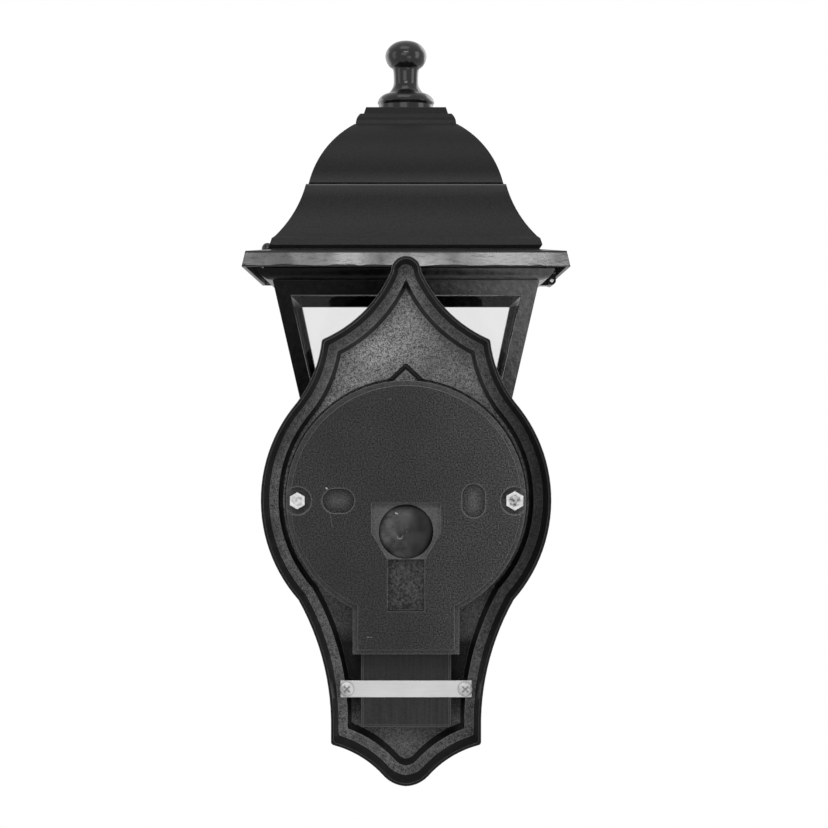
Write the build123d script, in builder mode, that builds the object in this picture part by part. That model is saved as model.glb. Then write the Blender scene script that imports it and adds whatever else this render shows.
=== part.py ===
from build123d import *
from math import asin, atan, cos, radians, sin
import os

os.makedirs("parts", exist_ok=True)

# Outdoor wall lantern with a hinged roof, a swan neck arm and a stepped back shield.
# Millimetres. The wall is the plane Y = 0, the lantern stands out along -Y, Z is up.
# The origin is the middle of the round wall plate. Depths are measured out from the wall.

# Back shield
shield_rim_wall = 1.3
shield_wall = 2.2
shield_step_wall = 3.2
rim_depth = 14.0
rim_draft = 1.85
ledge_width = 4.4
floor_depth = 26.0
floor_draft = 1.6
outside_rim_draft = 1.25
boss_recess_depth = 2.5
boss_recess_radius = 58.6
boss_peak_z = 64.4
boss_peak_half = 9.5
boss_peak_foot_z = 55.5

# Shield outline: the points of its right half, seen from the wall, and the rise of each arc
shield_top_z = 115.9
shield_shoulder = (7.1, 108.6)
ear = (39.8, 76.3)
waist = (51.6, 46.6)
low_waist = (50.9, -46.8)
foot_side = (35.5, -108.0)
corner = (35.5, -115.2)
tail = (10.4, -130.2)
shield_foot_z = -134.9
peak_rise = 2.13
shoulder_hollow = 4.42
notch_hollow = 2.24
side_rise = 17.45
lower_hollow = 4.18
foot_hollow = 2.25
tail_rise = 1.12
ear_round = 1.6

# Wall plate, the round plate with a tab that is screwed to the wall
plate_radius = 57.0
plate_tab_half = 25.3
plate_tab_foot = 73.0
plate_wall = 2.3
plate_border = 2.4
plate_border_depth = 4.5
plate_clearance = 0.2
bolt_spacing = 103.0
bolt_seat_radius = 6.6
bolt_column_radius = 5.2
knockout_spacing = 64.0
knockout_depth = 1.3
knockout_flat = (15.4, 11.8)
knockout_upright = (16.1, 11.1)
house_half = 16.35
house_top = 1.0
house_side = 15.0
house_foot = 27.8
house_depth = 3.6
channel_half = 8.8
channel_foot = 52.3
channel_depth = 8.0

# Bolts that join the wall plate and the shield, with their washers and cap nuts
bolt_radius = 2.5
bolt_head_flats = 8.0
small_bolt_radius = 2.0
small_bolt_head_flats = 7.0
bolt_head_height = 3.5
bolt_hole_radius = 2.75
washer_radius = 5.5
washer_thickness = 1.2
cap_nut_height = 5.0
cap_nut_dome = 3.6
cap_nut_bevel = 0.25
bolt_tip = 1.0

# Rubber cable grommet
grommet_drop = 14.7
grommet_radius = 12.9
grommet_dome = 3.3
grommet_neck_radius = 6.4
grommet_inner_radius = 8.6
grommet_inner_lip = 1.6
grommet_skin = 1.2

# Terminal box under the tab, with its block, strap and screws
box_half = 21.6
box_top = 62.0
box_foot = 109.0
box_wall = 1.5
box_floor = 1.2
lid_thickness = 1.8
lid_border = 1.1
lid_step = 0.4
pole_count = 3
pole_pitch = 8.0
block_length = 17.0
block_height = 8.0
block_drop = 86.0
terminal_bore = 1.9
terminal_sleeve_radius = 2.6
terminal_screw_radius = 1.5
terminal_screw_sink = 1.0
terminal_slot = (0.6, 0.8)
pole_gap = 1.0
strap_thickness = 1.0
strap_height = 8.0
strap_half = 31.4
strap_screw_spacing = 56.6
strap_drop = 90.5
strap_screw_radius = 1.6
strap_hole_play = 0.2
strap_screw_head = 3.5
strap_screw_length = 9.0
screw_head_rim = 0.8
screw_dome = 1.4
screw_gap = 0.5
screw_point = 1.5
cross_span = 3.8
cross_width = 0.9
strap_boss_radius = 3.9

# Swan neck arm
lantern_reach = 117.0
arm_radius = 10.0
arm_bore = 7.0
arm_drop_angle = 65.0
arm_first_bend = 18.0
arm_slope = 22.5171282
rosette_radius = 23.0
rosette_height = 9.0
rosette_edge = 2.5
rosette_neck = 2.0
arm_screw_count = 4
arm_screw_circle = 32.0
arm_screw_radius = 1.8
arm_screw_head = 3.6
arm_screw_head_height = 2.0
arm_screw_bite = 4.5
arm_screw_play = 0.5
lead_hole_radius = 6.0
arm_collar_radius = 14.0
arm_collar_height = 5.0
arm_plug = 10.0

# Lantern cage
cage_floor_top = -1.0
cage_floor = 3.0
cage_neck_radius = 14.5
cage_neck_foot = -14.0
cage_foot_z = 8.0
cage_foot_half = 44.26
cage_bowl_foot = 26.0
cage_bowl_bulge = 2.86
cage_bowl_inset = 0.66
cage_lip = 1.14
cage_lip_height = 3.0
cage_lip_bevel = 0.6
cage_head_z = 107.5
cornice_width = 7.15
cornice_height = 5.5
cornice_bulge = 1.65
cornice_inset = 5.5
cage_rim_inset = 8.8
cage_rim_drop = 0.8
cage_wall = 7.0
post_width = 7.2
window_foot_rise = 8.0
window_head_drop = 7.3

# Panes and the grooves that hold them
bezel = 1.8
pane_thickness = 2.0
pane_lap = 1.9
groove_play = 0.15

# Nipple, lock nut and lampholder
nipple_radius = 4.9
nipple_bore = 3.6
nipple_top = 8.0
nipple_grip = 9.0
nipple_play = 0.2
lock_nut_flats = 14.0
lock_nut_height = 3.5
holder_cap_radius = 18.0
holder_sleeve_radius = 20.0
holder_wall = 2.0
holder_cap_height = 24.0
holder_sleeve_height = 28.0
holder_neck_radius = 8.0
holder_neck = 5.0
holder_shoulder = 14.0
holder_bulge = 2.5
holder_flange = 3.0
holder_mouth_radius = 15.0
holder_mouth_wall = 2.0
core_rise = 1.0
core_play = 0.1
core_lead_offset = 8.0
core_lead_hole = 1.0
contact_round = 1.0
core_radius = 15.8
core_height = 7.0
lamp_thread_radius = 13.3
lamp_thread_wall = 0.5
lamp_thread_length = 24.0
contact_radius = 3.2
contact_height = 4.0

# Leads from the outer poles of the terminal block, through the arm, to the lampholder
lead_radius = 0.9
lead_offset = 1.6
lead_bend = 10.0
lead_grip = 6.5
lead_tail = 3.5

# Roof: a square shell, its half widths and the heights of its stages
roof_wall = 1.5
roof_top_plate = 2.0
brim_wall = 1.66
brim_gap = 0.3
brim_top_half = 78.8
brim_flare = 1.7
brim_height = 7.8
brim_slope_width = 12.6
brim_slope_rise = 1.8
band_step = 1.4
band_foot_rise = 2.1
band_draft = 1.0
band_height = 3.3
band_bevel = 1.6
band_bevel_rise = 1.3
ogee_height = 27.2
ogee_hollow = 1.92
seam_half = 50.35
seam_step = 1.25
seam_rise = 0.2
dome_height = 33.4
dome_bulge = 3.87
dome_top_half = 26.3
lower_step_inset = 0.5
lower_step_draft = 2.3
lower_step_height = 5.7
lower_step_bulge = 0.63
upper_step_inset = 1.7
upper_step_draft = 1.2
upper_step_height = 3.7

# Finial, with heights above the roof's top, and its nut
finial_height = 37.6
finial_ball = (10.8, 29.5)
finial_ball_shoulder = (8.0, 35.0)
finial_ball_foot = (8.5, 24.0)
finial_neck = (6.36, 16.9)
finial_neck_hollow = 0.98
finial_bell = (9.5, 9.8)
finial_bell_bulge = 1.2
finial_lip = (14.9, 5.0)
finial_foot_height = 3.5
finial_foot_radius = 14.2
finial_stud_radius = 3.0
finial_stud_play = 0.1
finial_stud_length = 9.0
finial_nut_flats = 10.0
finial_nut_height = 5.0

# Hinge at the -X side of the roof
hinge_inset = 2.9
hinge_drop = 2.7
knuckle_radius = 2.2
knuckle_bite = 1.0
cage_knuckle_width = 10.0
roof_knuckle_width = 6.0
knuckle_gap = 0.3
hinge_pin_radius = 0.9
hinge_play = 0.05

# Latch at the +X side of the roof
latch_inset = 6.0
latch_ball_radius = 3.1
latch_ball_rise = 6.9
latch_stem_radius = 1.5
latch_play = 0.06
latch_end_play = 0.2
latch_cam_length = 5.0
latch_cam_width = 3.2
latch_cam_rise = 1.3
latch_cam_thickness = 2.2
latch_hub_radius = 2.0
latch_collar_radius = 2.6
latch_collar_height = 1.0
latch_pocket_depth = 2.8
latch_pocket_margin = 0.4

# How far a cutting shape stands past the face it cuts
overcut = 1.0

# Work planes
wall = Plane.XZ
section = Plane(origin=(0, 0, 0), x_dir=(0, -1, 0), z_dir=(-1, 0, 0))
lantern_axis = (0, -lantern_reach, 0)
across = Plane(origin=lantern_axis, x_dir=(1, 0, 0), z_dir=(0, -1, 0))
along = Plane(origin=lantern_axis, x_dir=(0, 1, 0), z_dir=(1, 0, 0))
plan = Plane(origin=lantern_axis, x_dir=(1, 0, 0), z_dir=(0, 0, 1))
spindle = Axis(lantern_axis, (0, 0, 1))

# Depths from the wall that follow from the sizes above
ledge_face = rim_depth
floor_face = floor_depth
boss_face = floor_depth + boss_recess_depth
shield_front = boss_face + shield_wall
bolt_x = bolt_spacing / 2
inner_ledge_inset = shield_rim_wall + rim_draft + ledge_width

# Levels and half widths of the lantern that follow from the sizes above
cornice_z = cage_head_z + cornice_height
window_foot_z = cage_foot_z + window_foot_rise
window_head_z = cage_head_z - window_head_drop
brim_foot_z = cornice_z + brim_gap
brim_top_z = brim_foot_z + brim_height
cage_top_z = brim_top_z - cage_rim_drop
roof_foot_z = brim_top_z + brim_slope_rise
band_foot_z = roof_foot_z + band_foot_rise
band_top_z = band_foot_z + band_height
ogee_foot_z = band_top_z + band_bevel_rise
seam_z = ogee_foot_z + ogee_height
dome_top_z = seam_z + dome_height
lower_step_top_z = dome_top_z + lower_step_height
roof_top_z = lower_step_top_z + upper_step_height
brim_foot_half = brim_top_half + brim_flare
roof_foot_half = brim_top_half - brim_slope_width
band_half = roof_foot_half + band_step
band_top_half = band_half - band_draft
ogee_foot_half = band_top_half - band_bevel
lower_step_half = dome_top_half - lower_step_inset
lower_step_top_half = lower_step_half - lower_step_draft
upper_step_half = lower_step_top_half - upper_step_inset
upper_step_top_half = upper_step_half - upper_step_draft
cornice_half = brim_top_half - cornice_inset
cage_head_half = cornice_half - cornice_width
cage_rim_half = brim_top_half - cage_rim_inset
hinge_x = hinge_inset - brim_top_half
hinge_z = brim_foot_z - hinge_drop

# The latch's collar rests on the brim's slope and its hub stays just under it
brim_slope = brim_slope_rise / brim_slope_width
latch_x = brim_top_half - latch_inset
latch_ball_z = brim_top_z + latch_ball_rise
latch_cam_foot_z = brim_foot_z + latch_cam_rise
latch_collar_foot_z = brim_top_z + (latch_inset + latch_collar_radius) * brim_slope + latch_play
latch_hub_edge = latch_inset - roof_wall - latch_hub_radius
latch_hub_top = brim_top_z - roof_wall + latch_hub_edge * brim_slope - latch_end_play


def cap_middle(rise, radius):
    """The middle of a spherical cap's arc: its height above the cap's base and its radius."""
    sphere = (radius**2 + rise**2) / (2 * rise)
    turn = asin(radius / sphere) / 2
    return rise - sphere * (1 - cos(turn)), sphere * sin(turn)


# Back shield: a stepped shell, open to the wall
def shield_outline(inset=0.0):
    """The shield's outline seen from the wall, drawn in by an inset."""
    with BuildSketch() as outline:
        with BuildLine():
            SagittaArc((0, shield_top_z), shield_shoulder, peak_rise)
            SagittaArc(shield_shoulder, ear, -shoulder_hollow)
            SagittaArc(ear, waist, -notch_hollow)
            SagittaArc(waist, low_waist, side_rise)
            SagittaArc(low_waist, foot_side, -lower_hollow)
            Line(foot_side, corner)
            SagittaArc(corner, tail, -foot_hollow)
            SagittaArc(tail, (0, shield_foot_z), tail_rise)
            Line((0, shield_foot_z), (0, shield_top_z))
        make_face()
        mirror(about=Plane.YZ)
        if inset:
            offset(amount=-inset, kind=Kind.INTERSECTION, mode=Mode.REPLACE)
    return outline.sketch


def rounded_outline(inset):
    """The outline at an inset, with its ears and lower corners rounded."""
    sharp = [ear, (-ear[0], ear[1]), corner, (-corner[0], corner[1])]
    with BuildSketch() as outline:
        add(shield_outline(inset))
        for x, z in sharp:
            fillet(outline.vertices().sort_by_distance((x, z, 0))[0], ear_round)
    return outline.sketch


def drafted_block(near_outline, near_depth, far_outline, far_depth):
    """A block between two outlines at two depths, so that its walls have draft."""
    with BuildPart() as block:
        with BuildSketch(wall.offset(near_depth)):
            add(near_outline)
        with BuildSketch(wall.offset(far_depth)):
            add(far_outline)
        loft(ruled=True)
    return block.part


def boss_outline(grow=0.0):
    """The round step in the shield's floor, with its small peak above."""
    with BuildSketch() as outline:
        Circle(boss_recess_radius)
        with BuildLine():
            Polyline(
                (-boss_peak_half, boss_peak_foot_z),
                (boss_peak_half, boss_peak_foot_z),
                (0, boss_peak_z),
                close=True,
            )
        make_face()
        if grow:
            offset(amount=grow, kind=Kind.INTERSECTION, mode=Mode.REPLACE)
    return outline.sketch


outer_ledge_inset = inner_ledge_inset - shield_step_wall
outer_floor_inset = outer_ledge_inset + floor_draft
rim_block = drafted_block(
    rounded_outline(0), 0, rounded_outline(outside_rim_draft), rim_depth + shield_wall
)
rim_hollow = drafted_block(
    rounded_outline(shield_rim_wall), 0, rounded_outline(shield_rim_wall + rim_draft), rim_depth
)
floor_block = drafted_block(
    shield_outline(outer_ledge_inset),
    rim_depth,
    shield_outline(outer_floor_inset),
    floor_depth + shield_wall,
)
floor_hollow = drafted_block(
    shield_outline(inner_ledge_inset),
    rim_depth,
    shield_outline(inner_ledge_inset + floor_draft),
    floor_depth,
)

with BuildPart() as back_shield:
    add(rim_block)
    add(floor_block)
    with BuildSketch(wall.offset(floor_depth)):
        add(boss_outline(shield_wall))
    extrude(amount=shield_front - floor_depth)
    add(rim_hollow, mode=Mode.SUBTRACT)
    add(floor_hollow, mode=Mode.SUBTRACT)
    with BuildSketch(wall.offset(floor_depth - overcut)):
        add(boss_outline())
    extrude(amount=boss_recess_depth + overcut, mode=Mode.SUBTRACT)
    with BuildSketch(wall.offset(rim_depth)):
        with Locations((-strap_screw_spacing / 2, -strap_drop), (strap_screw_spacing / 2, -strap_drop)):
            Circle(strap_boss_radius)
    extrude(amount=floor_depth - rim_depth + shield_wall / 2)
    with BuildSketch(wall.offset(rim_depth)):
        with Locations((-strap_screw_spacing / 2, -strap_drop), (strap_screw_spacing / 2, -strap_drop)):
            Circle(strap_screw_radius)
    extrude(amount=strap_screw_length, mode=Mode.SUBTRACT)
    with BuildSketch(wall.offset(floor_depth)):
        with Locations((-bolt_x, 0), (bolt_x, 0)):
            Circle(bolt_hole_radius)
        Circle(lead_hole_radius)
        with PolarLocations(arm_screw_circle / 2, arm_screw_count, start_angle=45):
            Circle(arm_screw_radius)
    extrude(amount=shield_front, mode=Mode.SUBTRACT)

back_shield.part.label = "back_shield"
export_step(back_shield.part, "parts/back_shield.step")


# Wall plate: a dished plate whose open side stands on the shield's floor
def plate_outline(inset=0.0):
    """The circle with its tab, drawn in by an inset."""
    with BuildSketch() as outline:
        Circle(plate_radius)
        with Locations((0, -plate_tab_foot / 2)):
            Rectangle(2 * plate_tab_half, plate_tab_foot)
        if inset:
            offset(amount=-inset, kind=Kind.INTERSECTION, mode=Mode.REPLACE)
    return outline.sketch


def house_outline(grow=0.0):
    """The recess about the grommet, wide above and narrowing to the cable channel."""
    with BuildSketch() as outline:
        with BuildLine():
            Polyline(
                (-house_half, -house_top),
                (house_half, -house_top),
                (house_half, -house_side),
                (channel_half, -house_foot),
                (-channel_half, -house_foot),
                (-house_half, -house_side),
                close=True,
            )
        make_face()
        if grow:
            offset(amount=grow, kind=Kind.INTERSECTION, mode=Mode.REPLACE)
    return outline.sketch


def channel_outline(grow=0.0):
    """The cable channel below the grommet."""
    height = channel_foot - house_foot + 2 * grow
    with BuildSketch() as outline:
        with Locations((0, -(house_foot + channel_foot) / 2)):
            Rectangle(2 * (channel_half + grow), height)
    return outline.sketch


plate_base = boss_face - plate_clearance
tab_base = floor_face - plate_clearance

with BuildPart() as wall_plate:
    with BuildSketch(wall):
        add(plate_outline(plate_border))
    extrude(amount=plate_border_depth + plate_wall)
    with BuildSketch(wall.offset(plate_border_depth)):
        add(plate_outline())
    extrude(amount=tab_base - plate_border_depth)
    with BuildSketch(wall.offset(plate_border_depth)):
        Circle(plate_radius)
    extrude(amount=plate_base - plate_border_depth)
    with BuildSketch(wall.offset(plate_wall)):
        add(plate_outline(plate_border + plate_wall))
    extrude(amount=plate_border_depth, mode=Mode.SUBTRACT)
    with BuildSketch(wall.offset(plate_border_depth + plate_wall)):
        add(plate_outline(plate_wall))
    extrude(amount=plate_base, mode=Mode.SUBTRACT)
    # The tab's lower wall stops above the terminal box.
    with BuildSketch(wall.offset(ledge_face - 2 * plate_clearance)):
        with Locations((0, -plate_tab_foot)):
            Rectangle(2 * (plate_tab_half - plate_wall), 4 * plate_wall)
    extrude(amount=floor_depth, mode=Mode.SUBTRACT)
    # Seats and spacer columns of the two bolts.
    with BuildSketch(wall):
        with Locations((-bolt_x, 0), (bolt_x, 0)):
            Circle(bolt_seat_radius + plate_wall)
        add(plate_outline(plate_border), mode=Mode.INTERSECT)
    extrude(amount=plate_border_depth + plate_wall)
    with BuildSketch(wall.offset(plate_border_depth)):
        with Locations((-bolt_x, 0), (bolt_x, 0)):
            Circle(bolt_column_radius)
    extrude(amount=plate_base - plate_border_depth)
    with BuildSketch(wall):
        with Locations((-bolt_x, 0), (bolt_x, 0)):
            Circle(bolt_seat_radius)
    extrude(amount=plate_border_depth, mode=Mode.SUBTRACT)
    with BuildSketch(wall):
        with Locations((-bolt_x, 0), (bolt_x, 0)):
            Circle(bolt_hole_radius)
    extrude(amount=plate_base, mode=Mode.SUBTRACT)
    # Knock-outs: shallow slots that leave a thin web.
    with BuildSketch(wall):
        with Locations((knockout_spacing / 2, 0)):
            SlotOverall(knockout_flat[0], knockout_flat[1])
        with Locations((-knockout_spacing / 2, 0)):
            SlotOverall(knockout_upright[0], knockout_upright[1], rotation=90)
    extrude(amount=knockout_depth, mode=Mode.SUBTRACT)
    # Recess for the grommet and channel for the supply cable.
    with BuildSketch(wall):
        add(house_outline(plate_wall))
    extrude(amount=house_depth + plate_wall)
    with BuildSketch(wall):
        add(channel_outline(plate_wall))
    extrude(amount=channel_depth + plate_wall)
    with BuildSketch(wall):
        add(house_outline())
    extrude(amount=house_depth, mode=Mode.SUBTRACT)
    with BuildSketch(wall):
        add(channel_outline())
    extrude(amount=channel_depth, mode=Mode.SUBTRACT)
    with BuildSketch(wall):
        with Locations((0, -grommet_drop)):
            Circle(grommet_neck_radius)
    extrude(amount=channel_depth, mode=Mode.SUBTRACT)

wall_plate.part.label = "wall_plate"
export_step(wall_plate.part, "parts/wall_plate.step")


# Bolts: hex heads in the plate's seats, shanks through the shield
bolt_end = shield_front + washer_thickness + cap_nut_height + bolt_tip
bolt_sizes = [
    (-bolt_x, bolt_radius, bolt_head_flats),
    (bolt_x, small_bolt_radius, small_bolt_head_flats),
]

with BuildPart() as plate_bolts:
    for x, radius, flats in bolt_sizes:
        with BuildSketch(wall.offset(plate_border_depth - bolt_head_height)):
            with Locations((x, 0)):
                RegularPolygon(flats / 2, 6, major_radius=False, rotation=30)
        extrude(amount=bolt_head_height)
        with BuildSketch(wall.offset(plate_border_depth)):
            with Locations((x, 0)):
                Circle(radius)
        extrude(amount=bolt_end - plate_border_depth)

plate_bolts.part.label = "plate_bolts"
export_step(plate_bolts.part, "parts/plate_bolts.step")

with BuildPart() as seal_washers:
    for x, radius, flats in bolt_sizes:
        with BuildSketch(wall.offset(shield_front)):
            with Locations((x, 0)):
                Circle(washer_radius)
                Circle(radius, mode=Mode.SUBTRACT)
        extrude(amount=washer_thickness)

seal_washers.part.label = "seal_washers"
export_step(seal_washers.part, "parts/seal_washers.step")

nut_seat = shield_front + washer_thickness
nut_shoulder = nut_seat + cap_nut_height

with BuildPart() as cap_nuts:
    for x, radius, flats in bolt_sizes:
        dome_radius = flats / 2 - cap_nut_bevel
        with BuildSketch(wall.offset(nut_seat)):
            with Locations((x, 0)):
                RegularPolygon(flats / 2, 6, major_radius=False, rotation=30)
        extrude(amount=cap_nut_height)
        with BuildSketch(Plane(origin=(x, 0, 0), x_dir=(0, -1, 0), z_dir=(-1, 0, 0))):
            with BuildLine():
                Line((nut_shoulder, 0), (nut_shoulder, dome_radius))
                rise, half = cap_middle(cap_nut_dome, dome_radius)
                ThreePointArc(
                    (nut_shoulder, dome_radius),
                    (nut_shoulder + rise, half),
                    (nut_shoulder + cap_nut_dome, 0),
                )
                Line((nut_shoulder + cap_nut_dome, 0), (nut_shoulder, 0))
            make_face()
        revolve(axis=Axis((x, 0, 0), (0, -1, 0)))
        with BuildSketch(wall.offset(nut_seat)):
            with Locations((x, 0)):
                Circle(radius)
        extrude(amount=bolt_end - nut_seat, mode=Mode.SUBTRACT)

cap_nuts.part.label = "cap_nuts"
export_step(cap_nuts.part, "parts/cap_nuts.step")


# Grommet: a domed rubber skin over the cable hole, to be pierced by the supply cable
grommet_floor = house_depth
grommet_back = house_depth + plate_wall
grommet_plane = Plane(origin=(0, 0, -grommet_drop), x_dir=(0, -1, 0), z_dir=(-1, 0, 0))

with BuildPart() as cable_grommet:
    with BuildSketch(grommet_plane):
        with BuildLine():
            Polyline(
                (grommet_floor - grommet_dome, 0),
                (grommet_floor - grommet_dome + grommet_skin, 0),
                (grommet_floor - grommet_dome + grommet_skin, grommet_neck_radius - grommet_skin),
                (grommet_back + grommet_inner_lip, grommet_neck_radius - grommet_skin),
                (grommet_back + grommet_inner_lip, grommet_inner_radius),
                (grommet_back, grommet_inner_radius),
                (grommet_back, grommet_neck_radius),
                (grommet_floor, grommet_neck_radius),
                (grommet_floor, grommet_radius),
            )
            rise, half = cap_middle(grommet_dome, grommet_radius)
            ThreePointArc(
                (grommet_floor, grommet_radius),
                (grommet_floor - rise, half),
                (grommet_floor - grommet_dome, 0),
            )
        make_face()
    revolve(axis=Axis((0, 0, -grommet_drop), (0, -1, 0)))

cable_grommet.part.label = "cable_grommet"
export_step(cable_grommet.part, "parts/cable_grommet.step")


# Terminal box: a tray on the shield's floor and a lid level with the ledge
box_height = box_foot - box_top
box_middle = -(box_foot + box_top) / 2
tray_top = ledge_face + lid_thickness

with BuildPart() as terminal_box:
    with BuildSketch(wall.offset(tray_top)):
        with Locations((0, box_middle)):
            RectangleRounded(2 * box_half, box_height, box_wall)
    extrude(amount=floor_face - tray_top)
    with BuildSketch(wall.offset(tray_top)):
        with Locations((0, box_middle)):
            Rectangle(2 * (box_half - box_wall), box_height - 2 * box_wall)
    extrude(amount=floor_face - tray_top - box_floor, mode=Mode.SUBTRACT)
    # Mouth in the upper wall for the leads.
    with BuildSketch(wall.offset(tray_top)):
        with Locations((0, -box_top)):
            Rectangle(5 * terminal_sleeve_radius, 4 * box_wall)
    extrude(amount=3 * terminal_sleeve_radius, mode=Mode.SUBTRACT)

terminal_box.part.label = "terminal_box"
export_step(terminal_box.part, "parts/terminal_box.step")

with BuildPart() as terminal_box_lid:
    with BuildSketch(wall.offset(ledge_face + lid_step)):
        with Locations((0, box_middle)):
            RectangleRounded(2 * box_half, box_height, box_wall)
    extrude(amount=lid_thickness - lid_step)
    with BuildSketch(wall.offset(ledge_face)):
        with Locations((0, box_middle)):
            Rectangle(2 * (box_half - lid_border), box_height - 2 * lid_border)
    extrude(amount=lid_step)

terminal_box_lid.part.label = "terminal_box_lid"
export_step(terminal_box_lid.part, "parts/terminal_box_lid.step")

block_seat = floor_face - box_floor
block_top = block_seat - block_height
sleeve_depth = block_seat - block_height / 2
pole_xs = [(i - (pole_count - 1) / 2) * pole_pitch for i in range(pole_count)]
screw_drops = [block_drop - block_length / 4, block_drop + block_length / 4]

with BuildPart() as terminal_block:
    with BuildSketch(wall.offset(block_top + terminal_sleeve_radius)):
        with Locations((0, -block_drop)):
            Rectangle(pole_count * pole_pitch, block_length / 2)
    extrude(amount=block_height - terminal_sleeve_radius)
    for x in pole_xs:
        with BuildSketch(wall.offset(block_top + terminal_sleeve_radius)):
            with Locations((x, -block_drop)):
                Rectangle(pole_pitch - pole_gap, block_length)
        extrude(amount=block_height - terminal_sleeve_radius)
        for drop in screw_drops:
            with BuildSketch(wall.offset(block_top)):
                with Locations((x, -drop)):
                    Circle(terminal_sleeve_radius)
            extrude(amount=terminal_sleeve_radius)
            with BuildSketch(wall.offset(block_top)):
                with Locations((x, -drop)):
                    Circle(terminal_screw_radius)
            extrude(amount=block_height / 2, mode=Mode.SUBTRACT)
    with BuildSketch(Plane.XY.offset(-block_drop - block_length / 2)):
        with Locations(*[(x, -sleeve_depth) for x in pole_xs]):
            Circle(terminal_sleeve_radius)
    extrude(amount=block_length, mode=Mode.SUBTRACT)

terminal_block.part.label = "terminal_block"
export_step(terminal_block.part, "parts/terminal_block.step")

with BuildPart() as terminal_sleeves:
    with BuildSketch(Plane.XY.offset(-block_drop - block_length / 2)):
        with Locations(*[(x, -sleeve_depth) for x in pole_xs]):
            Circle(terminal_sleeve_radius)
            Circle(terminal_bore, mode=Mode.SUBTRACT)
    extrude(amount=block_length)
    with BuildSketch(wall.offset(block_top)):
        with Locations(*[(x, -drop) for x in pole_xs for drop in screw_drops]):
            Circle(terminal_screw_radius)
    extrude(amount=block_height / 2, mode=Mode.SUBTRACT)

terminal_sleeves.part.label = "terminal_sleeves"
export_step(terminal_sleeves.part, "parts/terminal_sleeves.step")

with BuildPart() as terminal_screws:
    with BuildSketch(wall.offset(block_top + terminal_screw_sink)):
        with Locations(*[(x, -drop) for x in pole_xs for drop in screw_drops]):
            Circle(terminal_screw_radius)
    extrude(amount=block_height / 2 - terminal_screw_sink)
    with BuildSketch(wall.offset(block_top + terminal_screw_sink)):
        with Locations(*[(x, -drop) for x in pole_xs for drop in screw_drops]):
            Rectangle(2 * terminal_screw_radius, terminal_slot[0])
    extrude(amount=terminal_slot[1], mode=Mode.SUBTRACT)

terminal_screws.part.label = "terminal_screws"
export_step(terminal_screws.part, "parts/terminal_screws.step")


# Strap over the box, held by two screws in the shield's bosses
strap_xs = [-strap_screw_spacing / 2, strap_screw_spacing / 2]
strap_face = ledge_face - strap_thickness
screw_rim = strap_face - screw_head_rim
screw_end = ledge_face + strap_screw_length - screw_gap

with BuildPart() as retaining_strap:
    with BuildSketch(wall.offset(strap_face)):
        with Locations((0, -strap_drop)):
            Rectangle(2 * strap_half, strap_height)
        with Locations(*[(x, -strap_drop) for x in strap_xs]):
            Circle(strap_screw_radius + strap_hole_play, mode=Mode.SUBTRACT)
    extrude(amount=strap_thickness)

retaining_strap.part.label = "retaining_strap"
export_step(retaining_strap.part, "parts/retaining_strap.step")

with BuildPart() as strap_screws:
    for x in strap_xs:
        with BuildSketch(Plane(origin=(x, 0, -strap_drop), x_dir=(0, -1, 0), z_dir=(-1, 0, 0))):
            with BuildLine():
                Polyline(
                    (screw_rim - screw_dome, 0),
                    (screw_end, 0),
                    (screw_end - screw_point, strap_screw_radius),
                    (strap_face, strap_screw_radius),
                    (strap_face, strap_screw_head),
                    (screw_rim, strap_screw_head),
                )
                rise, half = cap_middle(screw_dome, strap_screw_head)
                ThreePointArc(
                    (screw_rim, strap_screw_head),
                    (screw_rim - rise, half),
                    (screw_rim - screw_dome, 0),
                )
            make_face()
        revolve(axis=Axis((x, 0, -strap_drop), (0, -1, 0)))
        with BuildSketch(wall.offset(screw_rim - screw_dome)):
            with Locations((x, -strap_drop)):
                Rectangle(cross_span, cross_width, rotation=45)
                Rectangle(cross_width, cross_span, rotation=45)
        extrude(amount=screw_dome, mode=Mode.SUBTRACT)

strap_screws.part.label = "strap_screws"
export_step(strap_screws.part, "parts/strap_screws.step")


# Swan neck arm: rosette on the shield, hollow tube, collar under the cage
arm_start = shield_front + rosette_height
drop = radians(arm_drop_angle)
arm_second_bend = (
    lantern_reach - arm_start - arm_first_bend * sin(drop) - arm_slope * cos(drop)
) / (1 + sin(drop))

with BuildLine() as arm_curve:
    lead_in = Line((arm_start - rosette_height / 2, 0), (arm_start, 0))
    bend_down = JernArc(lead_in @ 1, (1, 0), arm_first_bend, -arm_drop_angle)
    slope = Line(bend_down @ 1, (bend_down @ 1) + (bend_down % 1) * arm_slope)
    bend_up = JernArc(slope @ 1, slope % 1, arm_second_bend, 90 + arm_drop_angle)
    Line(bend_up @ 1, (lantern_reach, cage_neck_foot))
arm_path = section * arm_curve.line

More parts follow.
